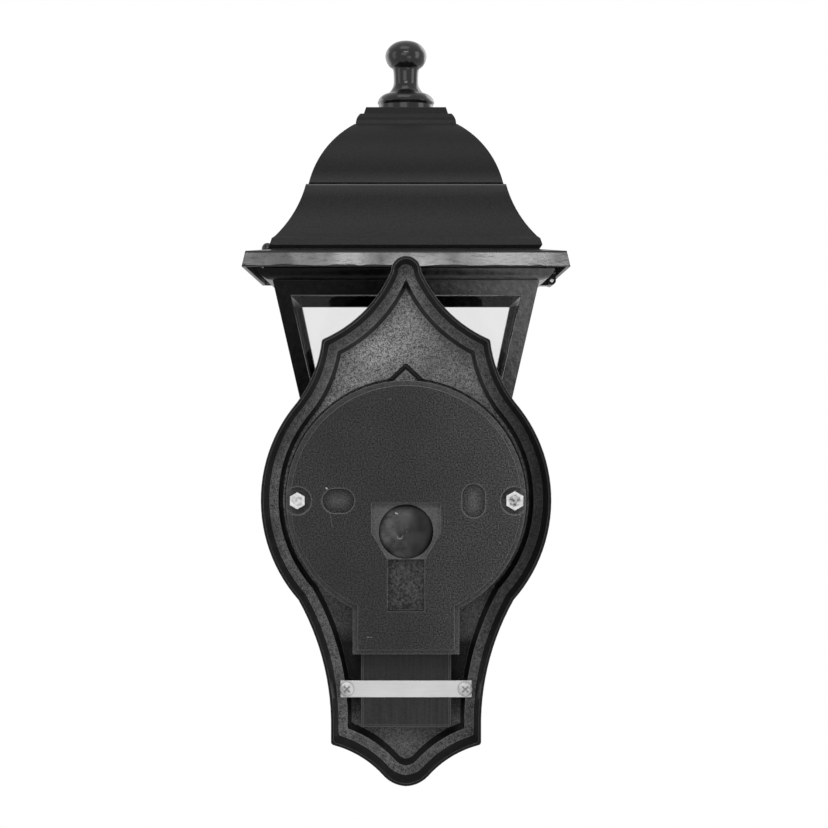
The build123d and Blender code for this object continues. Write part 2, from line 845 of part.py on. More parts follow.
with BuildPart() as swan_neck_arm:
    with BuildSketch(section):
        with BuildLine():
            Polyline(
                (shield_front, 0),
                (shield_front, rosette_radius),
                (shield_front + rosette_edge, rosette_radius),
                (shield_front + rosette_height, arm_radius + rosette_neck),
                (shield_front + rosette_height, 0),
                close=True,
            )
        make_face()
    revolve(axis=Axis((0, 0, 0), (0, -1, 0)))
    with BuildSketch(Plane(origin=arm_path @ 0, z_dir=arm_path % 0)):
        Circle(arm_radius)
    sweep(path=arm_path)
    with BuildSketch(plan.offset(cage_neck_foot - arm_collar_height)):
        Circle(arm_collar_radius)
    extrude(amount=arm_collar_height)
    with BuildSketch(Plane(origin=arm_path @ 0, z_dir=arm_path % 0)):
        Circle(arm_bore)
    sweep(path=arm_path, mode=Mode.SUBTRACT)
    with BuildSketch(plan.offset(cage_neck_foot - arm_plug)):
        Circle(arm_bore)
        Circle(nipple_radius, mode=Mode.SUBTRACT)
    extrude(amount=arm_plug)
    with BuildSketch(wall.offset(shield_front)):
        Circle(lead_hole_radius)
        with PolarLocations(arm_screw_circle / 2, arm_screw_count, start_angle=45):
            Circle(arm_screw_radius)
    extrude(amount=arm_screw_bite + arm_screw_play, mode=Mode.SUBTRACT)

swan_neck_arm.part.label = "swan_neck_arm"
export_step(swan_neck_arm.part, "parts/swan_neck_arm.step")

with BuildPart() as arm_screws:
    with BuildSketch(wall.offset(boss_face - arm_screw_head_height)):
        with PolarLocations(arm_screw_circle / 2, arm_screw_count, start_angle=45):
            Circle(arm_screw_head)
    extrude(amount=arm_screw_head_height)
    with BuildSketch(wall.offset(boss_face)):
        with PolarLocations(arm_screw_circle / 2, arm_screw_count, start_angle=45):
            Circle(arm_screw_radius)
    extrude(amount=shield_front - boss_face + arm_screw_bite)

arm_screws.part.label = "arm_screws"
export_step(arm_screws.part, "parts/arm_screws.step")


# Cage and roof are square in plan at every level
def square_body(profile):
    """A solid that is square at every level: the profile run both ways, and what they share."""
    with BuildPart() as body:
        with BuildSketch(across):
            add(profile)
        extrude(amount=2 * brim_foot_half, both=True)
        with BuildSketch(along):
            add(profile)
        extrude(amount=2 * brim_foot_half, both=True, mode=Mode.INTERSECT)
    return body.part


cage_slope = (cage_head_half - cage_foot_half) / (cage_head_z - cage_foot_z)
cage_lean = atan(cage_slope)


def cage_half(z):
    """Half the width over the cage's outer faces at a level."""
    return cage_foot_half + (z - cage_foot_z) * cage_slope


cage_foot = cage_floor_top - cage_floor
cage_lip_foot_z = cage_foot_z - cage_lip_height
cage_bowl_top = (cage_foot_half - cage_bowl_inset, cage_lip_foot_z - cage_lip_bevel)

with BuildSketch() as cage_profile:
    with BuildLine():
        Line((0, cage_foot), (cage_bowl_foot, cage_foot))
        SagittaArc((cage_bowl_foot, cage_foot), cage_bowl_top, -cage_bowl_bulge)
        Polyline(
            cage_bowl_top,
            (cage_foot_half + cage_lip, cage_lip_foot_z),
            (cage_foot_half + cage_lip, cage_foot_z),
            (cage_foot_half, cage_foot_z),
            (cage_head_half, cage_head_z),
        )
        SagittaArc((cage_head_half, cage_head_z), (cornice_half, cornice_z), -cornice_bulge)
        Polyline(
            (cornice_half, cornice_z),
            (cage_rim_half, cornice_z),
            (cage_rim_half, cage_top_z),
            (0, cage_top_z),
            (0, cage_foot),
        )
    make_face()
    mirror(about=Plane.YZ)

hollow_bowl_foot = (cage_bowl_foot - cage_floor, cage_floor_top)
hollow_bowl_top = (cage_half(cage_foot_z) - cage_wall, cage_foot_z)
hollow_top_z = cage_top_z + overcut

with BuildSketch() as cage_hollow_profile:
    with BuildLine():
        Line((0, cage_floor_top), hollow_bowl_foot)
        SagittaArc(hollow_bowl_foot, hollow_bowl_top, -cage_bowl_bulge)
        Polyline(
            hollow_bowl_top,
            (cage_half(hollow_top_z) - cage_wall, hollow_top_z),
            (0, hollow_top_z),
            (0, cage_floor_top),
        )
    make_face()
    mirror(about=Plane.YZ)

with BuildSketch() as window_profile:
    foot = cage_half(window_foot_z) - post_width
    head = cage_half(window_head_z) - post_width
    Polygon(
        (-foot, window_foot_z),
        (foot, window_foot_z),
        (head, window_head_z),
        (-head, window_head_z),
        align=None,
    )


def pane_plane(turn, inset):
    """The plane of a pane's outer face on one side of the cage, its origin at the window's foot."""
    outward = Vector(0, -1, 0).rotate(Axis.Z, turn)
    sideways = Vector(1, 0, 0).rotate(Axis.Z, turn)
    normal = outward * cos(cage_lean) - Vector(0, 0, 1) * sin(cage_lean)
    foot_point = Vector(0, -lantern_reach, window_foot_z)
    foot_point += outward * (cage_half(window_foot_z) - inset / cos(cage_lean))
    return Plane(origin=foot_point, x_dir=sideways, z_dir=normal)


def pane_outline(play=0.0, rise=0.0):
    """A pane's outline in its own plane, with play round it and a rise above its head."""
    foot_half = cage_half(window_foot_z) - post_width + pane_lap + play
    height = (window_head_z - window_foot_z) / cos(cage_lean) + pane_lap + rise
    low = -pane_lap - play
    with BuildSketch() as outline:
        Polygon(
            (-foot_half + pane_lap * sin(cage_lean), low),
            (foot_half - pane_lap * sin(cage_lean), low),
            (foot_half + height * sin(cage_lean), height),
            (-foot_half - height * sin(cage_lean), height),
            align=None,
        )
    return outline.sketch


pane_turns = {"pane_front": 0, "pane_right": 90, "pane_back": 180, "pane_left": 270}
groove_rise = cage_top_z - window_head_z

with BuildPart() as lantern_frame:
    add(square_body(cage_profile.sketch))
    add(square_body(cage_hollow_profile.sketch), mode=Mode.SUBTRACT)
    with BuildSketch(across):
        add(window_profile.sketch)
    extrude(amount=2 * cage_head_half, both=True, mode=Mode.SUBTRACT)
    with BuildSketch(along):
        add(window_profile.sketch)
    extrude(amount=2 * cage_head_half, both=True, mode=Mode.SUBTRACT)
    for turn in pane_turns.values():
        with BuildSketch(pane_plane(turn, bezel - groove_play)):
            add(pane_outline(groove_play, groove_rise))
        extrude(amount=-(pane_thickness + 2 * groove_play), mode=Mode.SUBTRACT)
    with BuildSketch(plan.offset(cage_neck_foot)):
        Circle(cage_neck_radius)
    extrude(amount=cage_foot - cage_neck_foot)
    with BuildSketch(plan.offset(cage_neck_foot)):
        Circle(nipple_radius + nipple_play)
    extrude(amount=cage_floor_top - cage_neck_foot, mode=Mode.SUBTRACT)
    # Knuckle of the roof's hinge.
    knuckle_root = knuckle_bite - cage_rim_half
    with BuildSketch(across.offset(-cage_knuckle_width / 2)):
        with Locations((hinge_x, hinge_z)):
            Circle(knuckle_radius)
        with Locations(((hinge_x + knuckle_root) / 2, hinge_z)):
            Rectangle(knuckle_root - hinge_x, 2 * knuckle_radius)
    extrude(amount=cage_knuckle_width)
    with BuildSketch(across.offset(-cage_knuckle_width / 2)):
        with Locations((hinge_x, hinge_z)):
            Circle(hinge_pin_radius + hinge_play)
    extrude(amount=cage_knuckle_width, mode=Mode.SUBTRACT)
    # Pocket that the latch cam turns into.
    pocket_end = cage_rim_half - latch_pocket_depth
    pocket_low = -latch_cam_width / 2 - latch_pocket_margin
    pocket_high = latch_cam_length + latch_pocket_margin
    with BuildSketch(plan.offset(latch_cam_foot_z - latch_pocket_margin)):
        with Locations(((pocket_end + latch_x) / 2, (pocket_low + pocket_high) / 2)):
            Rectangle(latch_x - pocket_end, pocket_high - pocket_low)
    extrude(amount=latch_cam_thickness + 2 * latch_pocket_margin, mode=Mode.SUBTRACT)

lantern_frame.part.label = "lantern_frame"
export_step(lantern_frame.part, "parts/lantern_frame.step")


# Panes: four equal sheets of clear glass, slid into the grooves from above
def glass_pane(turn):
    """The pane of one side of the cage."""
    with BuildPart() as pane:
        with BuildSketch(pane_plane(turn, bezel)):
            add(pane_outline())
        extrude(amount=-pane_thickness)
    return pane.part


pane_front = glass_pane(pane_turns["pane_front"])
pane_front.label = "pane_front"
export_step(pane_front, "parts/pane_front.step")

pane_right = glass_pane(pane_turns["pane_right"])
pane_right.label = "pane_right"
export_step(pane_right, "parts/pane_right.step")

pane_back = glass_pane(pane_turns["pane_back"])
pane_back.label = "pane_back"
export_step(pane_back, "parts/pane_back.step")

pane_left = glass_pane(pane_turns["pane_left"])
pane_left.label = "pane_left"
export_step(pane_left, "parts/pane_left.step")


# Threaded nipple and lock nut that join arm, cage and lampholder
with BuildPart() as threaded_nipple:
    with BuildSketch(plan.offset(cage_neck_foot - nipple_grip)):
        Circle(nipple_radius)
        Circle(nipple_bore, mode=Mode.SUBTRACT)
    extrude(amount=nipple_top - cage_neck_foot + nipple_grip)

threaded_nipple.part.label = "threaded_nipple"
export_step(threaded_nipple.part, "parts/threaded_nipple.step")

with BuildPart() as lock_nut:
    with BuildSketch(plan.offset(cage_floor_top)):
        RegularPolygon(lock_nut_flats / 2, 6, major_radius=False)
        Circle(nipple_radius, mode=Mode.SUBTRACT)
    extrude(amount=lock_nut_height)

lock_nut.part.label = "lock_nut"
export_step(lock_nut.part, "parts/lock_nut.step")


# Lampholder: cap, outer sleeve, ceramic core, lamp thread and centre contact
holder_foot = cage_floor_top + lock_nut_height
holder_joint = holder_foot + holder_cap_height
core_foot = holder_joint - core_height + core_rise
core_top = core_foot + core_height

with BuildPart() as holder_cap:
    with BuildSketch(across):
        with BuildLine():
            Polyline(
                (nipple_radius, holder_foot),
                (holder_neck_radius, holder_foot),
                (holder_neck_radius, holder_foot + holder_neck),
            )
            SagittaArc(
                (holder_neck_radius, holder_foot + holder_neck),
                (holder_cap_radius, holder_foot + holder_shoulder),
                -holder_bulge,
            )
            Polyline(
                (holder_cap_radius, holder_foot + holder_shoulder),
                (holder_cap_radius, holder_joint),
                (core_radius + core_play, holder_joint),
                (core_radius + core_play, core_foot),
                (core_radius - holder_wall, core_foot),
                (core_radius - holder_wall, holder_foot + holder_shoulder),
            )
            SagittaArc(
                (core_radius - holder_wall, holder_foot + holder_shoulder),
                (nipple_radius, holder_foot + holder_neck + holder_wall),
                holder_bulge,
            )
            Line(
                (nipple_radius, holder_foot + holder_neck + holder_wall),
                (nipple_radius, holder_foot),
            )
        make_face()
    revolve(axis=spindle)

holder_cap.part.label = "holder_cap"
export_step(holder_cap.part, "parts/holder_cap.step")

with BuildPart() as holder_sleeve:
    with BuildSketch(across):
        with BuildLine():
            Polyline(
                (core_radius + core_play, holder_joint),
                (holder_sleeve_radius, holder_joint),
                (holder_sleeve_radius, holder_joint + holder_flange),
                (holder_sleeve_radius - holder_wall, holder_joint + holder_flange),
                (holder_mouth_radius + holder_mouth_wall, holder_joint + holder_sleeve_height),
                (holder_mouth_radius, holder_joint + holder_sleeve_height),
                (holder_mouth_radius, core_top),
                (core_radius + core_play, core_top),
                close=True,
            )
        make_face()
    revolve(axis=spindle)

holder_sleeve.part.label = "holder_sleeve"
export_step(holder_sleeve.part, "parts/holder_sleeve.step")

with BuildPart() as holder_core:
    with BuildSketch(plan.offset(core_foot)):
        Circle(core_radius)
        with Locations((-core_lead_offset, 0), (core_lead_offset, 0)):
            Circle(core_lead_hole, mode=Mode.SUBTRACT)
    extrude(amount=core_height)
    with BuildSketch(plan.offset(core_top)):
        Circle(contact_radius)
    extrude(amount=-contact_height, mode=Mode.SUBTRACT)

holder_core.part.label = "holder_core"
export_step(holder_core.part, "parts/holder_core.step")

with BuildPart() as lamp_thread_sleeve:
    with BuildSketch(plan.offset(core_top)):
        Circle(lamp_thread_radius + lamp_thread_wall)
        Circle(lamp_thread_radius, mode=Mode.SUBTRACT)
    extrude(amount=lamp_thread_length)

lamp_thread_sleeve.part.label = "lamp_thread_sleeve"
export_step(lamp_thread_sleeve.part, "parts/lamp_thread_sleeve.step")

with BuildPart() as centre_contact:
    with BuildSketch(plan.offset(core_top - contact_height)):
        Circle(contact_radius)
    extrude(amount=contact_height)
    fillet(centre_contact.edges().sort_by(Axis.Z)[-1], contact_round)

centre_contact.part.label = "centre_contact"
export_step(centre_contact.part, "parts/centre_contact.step")


# Leads: one wire from each outer pole through box, shield, arm and nipple to the lampholder
lead_depth = sleeve_depth + lead_radius
lead_turn = lead_bend * (1 - cos(radians(45)))


def lead_path(side):
    """The centre line of the lead on one side, -1 or 1."""
    pole_x = side * pole_pitch * (pole_count - 1) / 2
    x = side * lead_offset
    core_x = side * core_lead_offset
    arm_line = Pos(x, 0, 0) * arm_path
    block_end = -block_drop + block_length / 2
    nipple_end = (x, -lantern_reach, nipple_top)
    with BuildLine() as path:
        Line((pole_x, -lead_depth, block_end - lead_grip), (pole_x, -lead_depth, block_end))
        Bezier(
            (pole_x, -lead_depth, block_end),
            (pole_x, -lead_depth, -box_top),
            (x, -lead_depth, block_end),
            (x, -lead_depth, -box_top),
        )
        Line((x, -lead_depth, -box_top), (x, -lead_depth, -lead_bend))
        ThreePointArc(
            (x, -lead_depth, -lead_bend),
            (x, -lead_depth - lead_turn, -lead_turn),
            (x, -lead_depth - lead_bend, 0),
        )
        Line((x, -lead_depth - lead_bend, 0), arm_line @ 0)
        add(arm_line)
        Line(arm_line @ 1, nipple_end)
        Bezier(
            nipple_end,
            (x, -lantern_reach, (nipple_top + core_foot) / 2),
            (core_x, -lantern_reach, (nipple_top + core_foot) / 2),
            (core_x, -lantern_reach, core_foot),
        )
        Line((core_x, -lantern_reach, core_foot), (core_x, -lantern_reach, core_foot + lead_tail))
    return path.wires()[0]


with BuildPart() as lamp_leads:
    for side in (-1, 1):
        lead = lead_path(side)
        with BuildSketch(Plane(origin=lead @ 0, z_dir=lead % 0)):
            Circle(lead_radius)
        sweep(path=lead)

lamp_leads.part.label = "lamp_leads"
export_step(lamp_leads.part, "parts/lamp_leads.step")


# Roof: a square shell with an ogee foot, a domed middle and a two-step top
skirt_lean = brim_flare / brim_height
open_foot_z = brim_foot_z - overcut
dome_foot = (seam_half - seam_step, seam_z + seam_rise)

with BuildSketch() as roof_profile:
    with BuildLine():
        Polyline(
            (0, brim_foot_z),
            (brim_foot_half, brim_foot_z),
            (brim_top_half, brim_top_z),
            (roof_foot_half, roof_foot_z),
            (band_half, band_foot_z),
            (band_top_half, band_top_z),
            (ogee_foot_half, ogee_foot_z),
        )
        SagittaArc((ogee_foot_half, ogee_foot_z), (seam_half, seam_z), ogee_hollow)
        Line((seam_half, seam_z), dome_foot)
        SagittaArc(dome_foot, (dome_top_half, dome_top_z), -dome_bulge)
        Line((dome_top_half, dome_top_z), (lower_step_half, dome_top_z))
        SagittaArc(
            (lower_step_half, dome_top_z),
            (lower_step_top_half, lower_step_top_z),
            -lower_step_bulge,
        )
        Polyline(
            (lower_step_top_half, lower_step_top_z),
            (upper_step_half, lower_step_top_z),
            (upper_step_top_half, roof_top_z),
            (0, roof_top_z),
            (0, brim_foot_z),
        )
    make_face()
    mirror(about=Plane.YZ)


def inside(half, z):
    """The point of the roof's inner face that belongs to a point of its outer face."""
    return (half - roof_wall, z - roof_wall)


with BuildSketch() as roof_hollow_profile:
    with BuildLine():
        Polyline(
            (0, open_foot_z),
            (brim_foot_half - brim_wall + skirt_lean * overcut, open_foot_z),
            inside(brim_top_half, brim_top_z),
            inside(roof_foot_half, roof_foot_z),
            inside(band_top_half, band_top_z),
            inside(ogee_foot_half, ogee_foot_z),
        )
        SagittaArc(inside(ogee_foot_half, ogee_foot_z), inside(seam_half, seam_z), ogee_hollow)
        Line(inside(seam_half, seam_z), inside(*dome_foot))
        SagittaArc(inside(*dome_foot), inside(dome_top_half, dome_top_z), -dome_bulge)
        Polyline(
            inside(dome_top_half, dome_top_z),
            inside(upper_step_half, dome_top_z),
            (upper_step_top_half - roof_wall, roof_top_z - roof_top_plate),
            (0, roof_top_z - roof_top_plate),
            (0, open_foot_z),
        )
    make_face()
    mirror(about=Plane.YZ)

lug_gap = cage_knuckle_width / 2 + knuckle_gap
lug_top = brim_top_z - brim_wall / 2

with BuildPart() as roof_shell:
    add(square_body(roof_profile.sketch))
    add(square_body(roof_hollow_profile.sketch), mode=Mode.SUBTRACT)
    for near in (lug_gap, -lug_gap - roof_knuckle_width):
        with BuildSketch(across.offset(near)):
            with Locations((hinge_x, hinge_z)):
                Circle(knuckle_radius)
            with Locations((hinge_x, (hinge_z + lug_top) / 2)):
                Rectangle(2 * knuckle_radius, lug_top - hinge_z)
        extrude(amount=roof_knuckle_width)
    with BuildSketch(across):
        with Locations((hinge_x, hinge_z)):
            Circle(hinge_pin_radius)
    extrude(amount=2 * cage_knuckle_width, both=True, mode=Mode.SUBTRACT)
    with BuildSketch(plan.offset(roof_top_z)):
        Circle(finial_stud_radius + finial_stud_play)
    extrude(amount=-2 * roof_top_plate, mode=Mode.SUBTRACT)
    with BuildSketch(plan.offset(brim_foot_z)):
        with Locations((latch_x, 0)):
            Circle(latch_stem_radius + latch_play)
    extrude(amount=roof_foot_z - brim_foot_z, mode=Mode.SUBTRACT)

roof_shell.part.label = "roof_shell"
export_step(roof_shell.part, "parts/roof_shell.step")


# Finial: turned knob on a round pedestal, with a stud and a nut under the roof
finial_section = Plane(origin=(0, -lantern_reach, roof_top_z), x_dir=(1, 0, 0), z_dir=(0, -1, 0))

with BuildPart() as finial:
    with BuildSketch(finial_section):
        with BuildLine():
            Spline(
                (0, finial_height),
                finial_ball_shoulder,
                finial_ball,
                finial_ball_foot,
                finial_neck,
                tangents=[(1, 0), (0, -1)],
            )
            SagittaArc(finial_neck, finial_bell, -finial_neck_hollow)
            SagittaArc(finial_bell, finial_lip, finial_bell_bulge)
            Polyline(
                finial_lip,
                (finial_foot_radius, finial_foot_height),
                (finial_foot_radius, 0),
                (finial_stud_radius, 0),
                (finial_stud_radius, -finial_stud_length),
                (0, -finial_stud_length),
                (0, finial_height),
            )
        make_face()
    revolve(axis=spindle)

finial.part.label = "finial"
export_step(finial.part, "parts/finial.step")

with BuildPart() as finial_nut:
    with BuildSketch(plan.offset(roof_top_z - roof_top_plate)):
        RegularPolygon(finial_nut_flats / 2, 6, major_radius=False)
        Circle(finial_stud_radius, mode=Mode.SUBTRACT)
    extrude(amount=-finial_nut_height)

finial_nut.part.label = "finial_nut"
export_step(finial_nut.part, "parts/finial_nut.step")


# Hinge pin, fast in the roof's lugs and free in the cage's knuckle
pin_length = cage_knuckle_width + 2 * knuckle_gap + 2 * roof_knuckle_width

with BuildPart() as hinge_pin:
    with BuildSketch(across.offset(-pin_length / 2)):
        with Locations((hinge_x, hinge_z)):
            Circle(hinge_pin_radius)
    extrude(amount=pin_length)

hinge_pin.part.label = "hinge_pin"
export_step(hinge_pin.part, "parts/hinge_pin.step")


# Latch: a ball knob on a stem through the brim, with a cam that turns into the cage's rim
with BuildPart() as latch_knob:
    with BuildSketch(plan.offset(latch_cam_foot_z)):
        with Locations((latch_x, 0)):
            Circle(latch_stem_radius)
    extrude(amount=latch_ball_z - latch_cam_foot_z)
    with BuildSketch(plan.offset(latch_collar_foot_z)):
        with Locations((latch_x, 0)):
            Circle(latch_collar_radius)
    extrude(amount=latch_collar_height)
    with Locations((latch_x, -lantern_reach, latch_ball_z)):
        Sphere(latch_ball_radius)

latch_knob.part.label = "latch_knob"
export_step(latch_knob.part, "parts/latch_knob.step")

with BuildPart() as latch_cam:
    with BuildSketch(plan.offset(latch_cam_foot_z)):
        with Locations((latch_x, 0)):
            Circle(latch_hub_radius)
    extrude(amount=latch_hub_top - latch_cam_foot_z)
    with BuildSketch(plan.offset(latch_cam_foot_z)):
        with Locations((latch_x, latch_cam_length / 2)):
            Rectangle(latch_cam_width, latch_cam_length)
    extrude(amount=latch_cam_thickness)
    with BuildSketch(plan.offset(latch_cam_foot_z)):
        with Locations((latch_x, 0)):
            Circle(latch_stem_radius)
    extrude(amount=latch_hub_top - latch_cam_foot_z, mode=Mode.SUBTRACT)

latch_cam.part.label = "latch_cam"
export_step(latch_cam.part, "parts/latch_cam.step")
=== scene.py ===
import math

import bpy
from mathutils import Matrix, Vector

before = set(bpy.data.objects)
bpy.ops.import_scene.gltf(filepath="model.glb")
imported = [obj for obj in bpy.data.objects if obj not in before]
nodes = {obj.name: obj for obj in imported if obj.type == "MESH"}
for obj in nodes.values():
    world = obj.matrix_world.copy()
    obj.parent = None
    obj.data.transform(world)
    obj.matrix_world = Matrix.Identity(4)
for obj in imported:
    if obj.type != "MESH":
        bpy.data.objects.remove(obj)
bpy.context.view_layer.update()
scene = bpy.context.scene

# Camera: level and square to the wall, where the photo was taken from
PHOTO_SIZE = 828
FOCAL_PIXELS = 2208
PRINCIPAL_X = 405
SENSOR_MM = 36.0
EYE = (0.0005, 1.044, 0.0411)
CLIP_NEAR = 0.05
CLIP_FAR = 50

camera_data = bpy.data.cameras.new("camera")
camera_data.sensor_width = SENSOR_MM
camera_data.lens = FOCAL_PIXELS * SENSOR_MM / PHOTO_SIZE
camera_data.shift_x = (PHOTO_SIZE / 2 - PRINCIPAL_X) / PHOTO_SIZE
camera_data.clip_start = CLIP_NEAR
camera_data.clip_end = CLIP_FAR
camera = bpy.data.objects.new("camera", camera_data)
camera.location = EYE
camera.rotation_euler = (math.radians(90), 0, math.radians(180))
scene.collection.objects.link(camera)
scene.camera = camera
scene.view_settings.view_transform = "Standard"

# Node helpers: a value is a number or another node's output, and a range is two numbers
NOISE_MIDDLE = (0.3, 0.7)
NOISE_CORE = (0.35, 0.65)
UNIT = (0.0, 1.0)
EDGE_COSINES = (0.85, 0.99)
FACING_COSINES = (0.93, 0.99)
BEVEL_SAMPLES = 6
LEVEL_MARGIN = 0.0003


def new_material(name):
    """A material with an empty node tree, its output and a Principled shader."""
    material = bpy.data.materials.new(name)
    material.use_nodes = True
    tree = material.node_tree
    tree.nodes.clear()
    tree.nodes.new("ShaderNodeOutputMaterial")
    shader = tree.nodes.new("ShaderNodeBsdfPrincipled")
    set_output(tree, shader.outputs["BSDF"])
    return material, tree, shader


def set_output(tree, source):
    """Sends a shader to the surface of a tree's output."""
    output = next(node for node in tree.nodes if "Surface" in node.inputs)
    tree.links.new(source, output.inputs["Surface"])


def feed(tree, value, socket):
    """Gives an input a fixed value or links it to another node's output."""
    if isinstance(value, (int, float, tuple)):
        socket.default_value = value
    else:
        tree.links.new(value, socket)


def calc(tree, operation, first, second=0.0):
    """A math node over two values."""
    node = tree.nodes.new("ShaderNodeMath")
    node.operation = operation
    feed(tree, first, node.inputs[0])
    feed(tree, second, node.inputs[1])
    return node.outputs["Value"]


def chain(tree, operation, values):
    """One math operation carried on over several values."""
    result = values[0]
    for value in values[1:]:
        result = calc(tree, operation, result, value)
    return result


def product(tree, *values):
    """Several values multiplied together."""
    return chain(tree, "MULTIPLY", values)


def total(tree, *values):
    """Several values added together."""
    return chain(tree, "ADD", values)


def mixed(tree, first, second, share):
    """A share of the first value and the rest of the second."""
    return total(tree, product(tree, first, share), product(tree, second, 1.0 - share))


def vector_calc(tree, operation, *vectors):
    """A vector math node over one or two vectors."""
    node = tree.nodes.new("ShaderNodeVectorMath")
    node.operation = operation
    for vector, socket in zip(vectors, node.inputs):
        feed(tree, vector, socket)
    return node


def coordinates(tree, scale=(1, 1, 1)):
    """Object coordinates in metres, stretched by a scale."""
    place = tree.nodes.new("ShaderNodeTexCoord")
    mapping = tree.nodes.new("ShaderNodeMapping")
    mapping.inputs["Scale"].default_value = scale
    tree.links.new(place.outputs["Object"], mapping.inputs["Vector"])
    return mapping.outputs["Vector"]


def parts_of(tree, vector):
    """The X, Y and Z of a vector."""
    node = tree.nodes.new("ShaderNodeSeparateXYZ")
    tree.links.new(vector, node.inputs["Vector"])
    return node.outputs["X"], node.outputs["Y"], node.outputs["Z"]


def noise(tree, vector, scale, detail=3.0, roughness=0.55):
    """Noise over the surface, its scale in waves a metre."""
    node = tree.nodes.new("ShaderNodeTexNoise")
    node.inputs["Scale"].default_value = scale
    node.inputs["Detail"].default_value = detail
    node.inputs["Roughness"].default_value = roughness
    tree.links.new(vector, node.inputs["Vector"])
    return node.outputs["Fac"]


def spread(tree, value, results, over=NOISE_MIDDLE):
    """Results that run from first to last as a value runs over a range, held at its ends."""
    node = tree.nodes.new("ShaderNodeMapRange")
    node.inputs["From Min"].default_value, node.inputs["From Max"].default_value = over
    node.inputs["To Min"].default_value, node.inputs["To Max"].default_value = results
    tree.links.new(value, node.inputs["Value"])
    return node.outputs["Result"]


def at_level(tree, value, level, margin=LEVEL_MARGIN):
    """1 where a value lies within a margin of a level, else 0."""
    off = calc(tree, "ABSOLUTE", calc(tree, "SUBTRACT", value, level))
    return calc(tree, "LESS_THAN", off, margin)


def distance_to(tree, vector, first, second=None):
    """Distance seen from the wall to a point or to the line between two points, as (x, z)."""
    x, _, z = parts_of(tree, vector)
    second = second or first
    length = math.dist(first, second)
    along_x, along_z = 1.0, 0.0
    if length:
        along_x, along_z = (second[0] - first[0]) / length, (second[1] - first[1]) / length
    from_x = calc(tree, "SUBTRACT", x, (first[0] + second[0]) / 2)
    from_z = calc(tree, "SUBTRACT", z, (first[1] + second[1]) / 2)
    lengthways = total(tree, product(tree, from_x, along_x), product(tree, from_z, along_z))
    sideways = calc(
        tree, "SUBTRACT", product(tree, from_x, along_z), product(tree, from_z, along_x)
    )
    past_end = calc(tree, "SUBTRACT", calc(tree, "ABSOLUTE", lengthways), length / 2)
    past_end = calc(tree, "MAXIMUM", past_end, 0.0)
    squares = [
        calc(tree, "POWER", offset, 2.0)
        for offset in (past_end, calc(tree, "ABSOLUTE", sideways))
    ]
    return calc(tree, "SQRT", total(tree, *squares))


def surface_normal(tree):
    """The normal of the surface."""
    return tree.nodes.new("ShaderNodeNewGeometry").outputs["Normal"]


def rounded_normal(tree, radius):
    """The normal of the surface with its sharp edges rounded."""
    bevel = tree.nodes.new("ShaderNodeBevel")
    bevel.samples = BEVEL_SAMPLES
    bevel.inputs["Radius"].default_value = radius
    return bevel.outputs["Normal"]


def edge_mask(tree, radius):
    """1 along the edges of a solid and 0 on its faces."""
    turn = vector_calc(tree, "DOT_PRODUCT", rounded_normal(tree, radius), surface_normal(tree))
    return spread(tree, turn.outputs["Value"], (1.0, 0.0), over=EDGE_COSINES)


def facing_wall(tree):
    """1 on faces that look at the wall, 0 on the walls between them."""
    _, y, _ = parts_of(tree, surface_normal(tree))
    return spread(tree, y, UNIT, over=FACING_COSINES)


def bump(tree, shader, height, depth, edge):
    """Bump of a depth on a shader whose sharp edges are rounded, both in metres."""
    node = tree.nodes.new("ShaderNodeBump")
    node.inputs["Distance"].default_value = depth
    node.inputs["Strength"].default_value = 1.0
    tree.links.new(height, node.inputs["Height"])
    tree.links.new(rounded_normal(tree, edge), node.inputs["Normal"])
    tree.links.new(node.outputs["Normal"], shader.inputs["Normal"])


def set_grey(tree, shader, tone):
    """Gives a shader a neutral grey base colour from one value."""
    node = tree.nodes.new("ShaderNodeCombineColor")
    for channel in ("Red", "Green", "Blue"):
        tree.links.new(tone, node.inputs[channel])
    tree.links.new(node.outputs["Color"], shader.inputs["Base Color"])


def set_dielectric(tree, shader, tone, gloss, rough):
    """Grey tone, gloss and roughness of a paint, a plastic or a rubber."""
    set_grey(tree, shader, tone)
    feed(tree, gloss, shader.inputs["Specular IOR Level"])
    feed(tree, rough, shader.inputs["Roughness"])


def set_metal(tree, shader, metallic, rough):
    """How metallic and how rough a shader is."""
    feed(tree, metallic, shader.inputs["Metallic"])
    feed(tree, rough, shader.inputs["Roughness"])


# Plain paint
PAINT_CLOUDS = 9.0
PAINT_CLOUD_SHARE = 0.4
PAINT_GLOSS = 0.35
PAINT_ROUGH_BELOW = 0.05
PAINT_ROUGH_ABOVE = 0.06


def paint(name, tones, rough, grain, depth, edge):
    """Sprayed or moulded finish: a fine grain and broad soft clouds."""
    material, tree, shader = new_material(name)
    vector = coordinates(tree)
    fine = noise(tree, vector, grain, detail=2.0)
    broad = noise(tree, vector, PAINT_CLOUDS, detail=2.0)
    tone = spread(tree, mixed(tree, broad, fine, PAINT_CLOUD_SHARE), tones, over=NOISE_CORE)
    roughness = spread(tree, broad, (rough - PAINT_ROUGH_BELOW, rough + PAINT_ROUGH_ABOVE))
    set_dielectric(tree, shader, tone, PAINT_GLOSS, roughness)
    bump(tree, shader, fine, depth, edge)
    return material


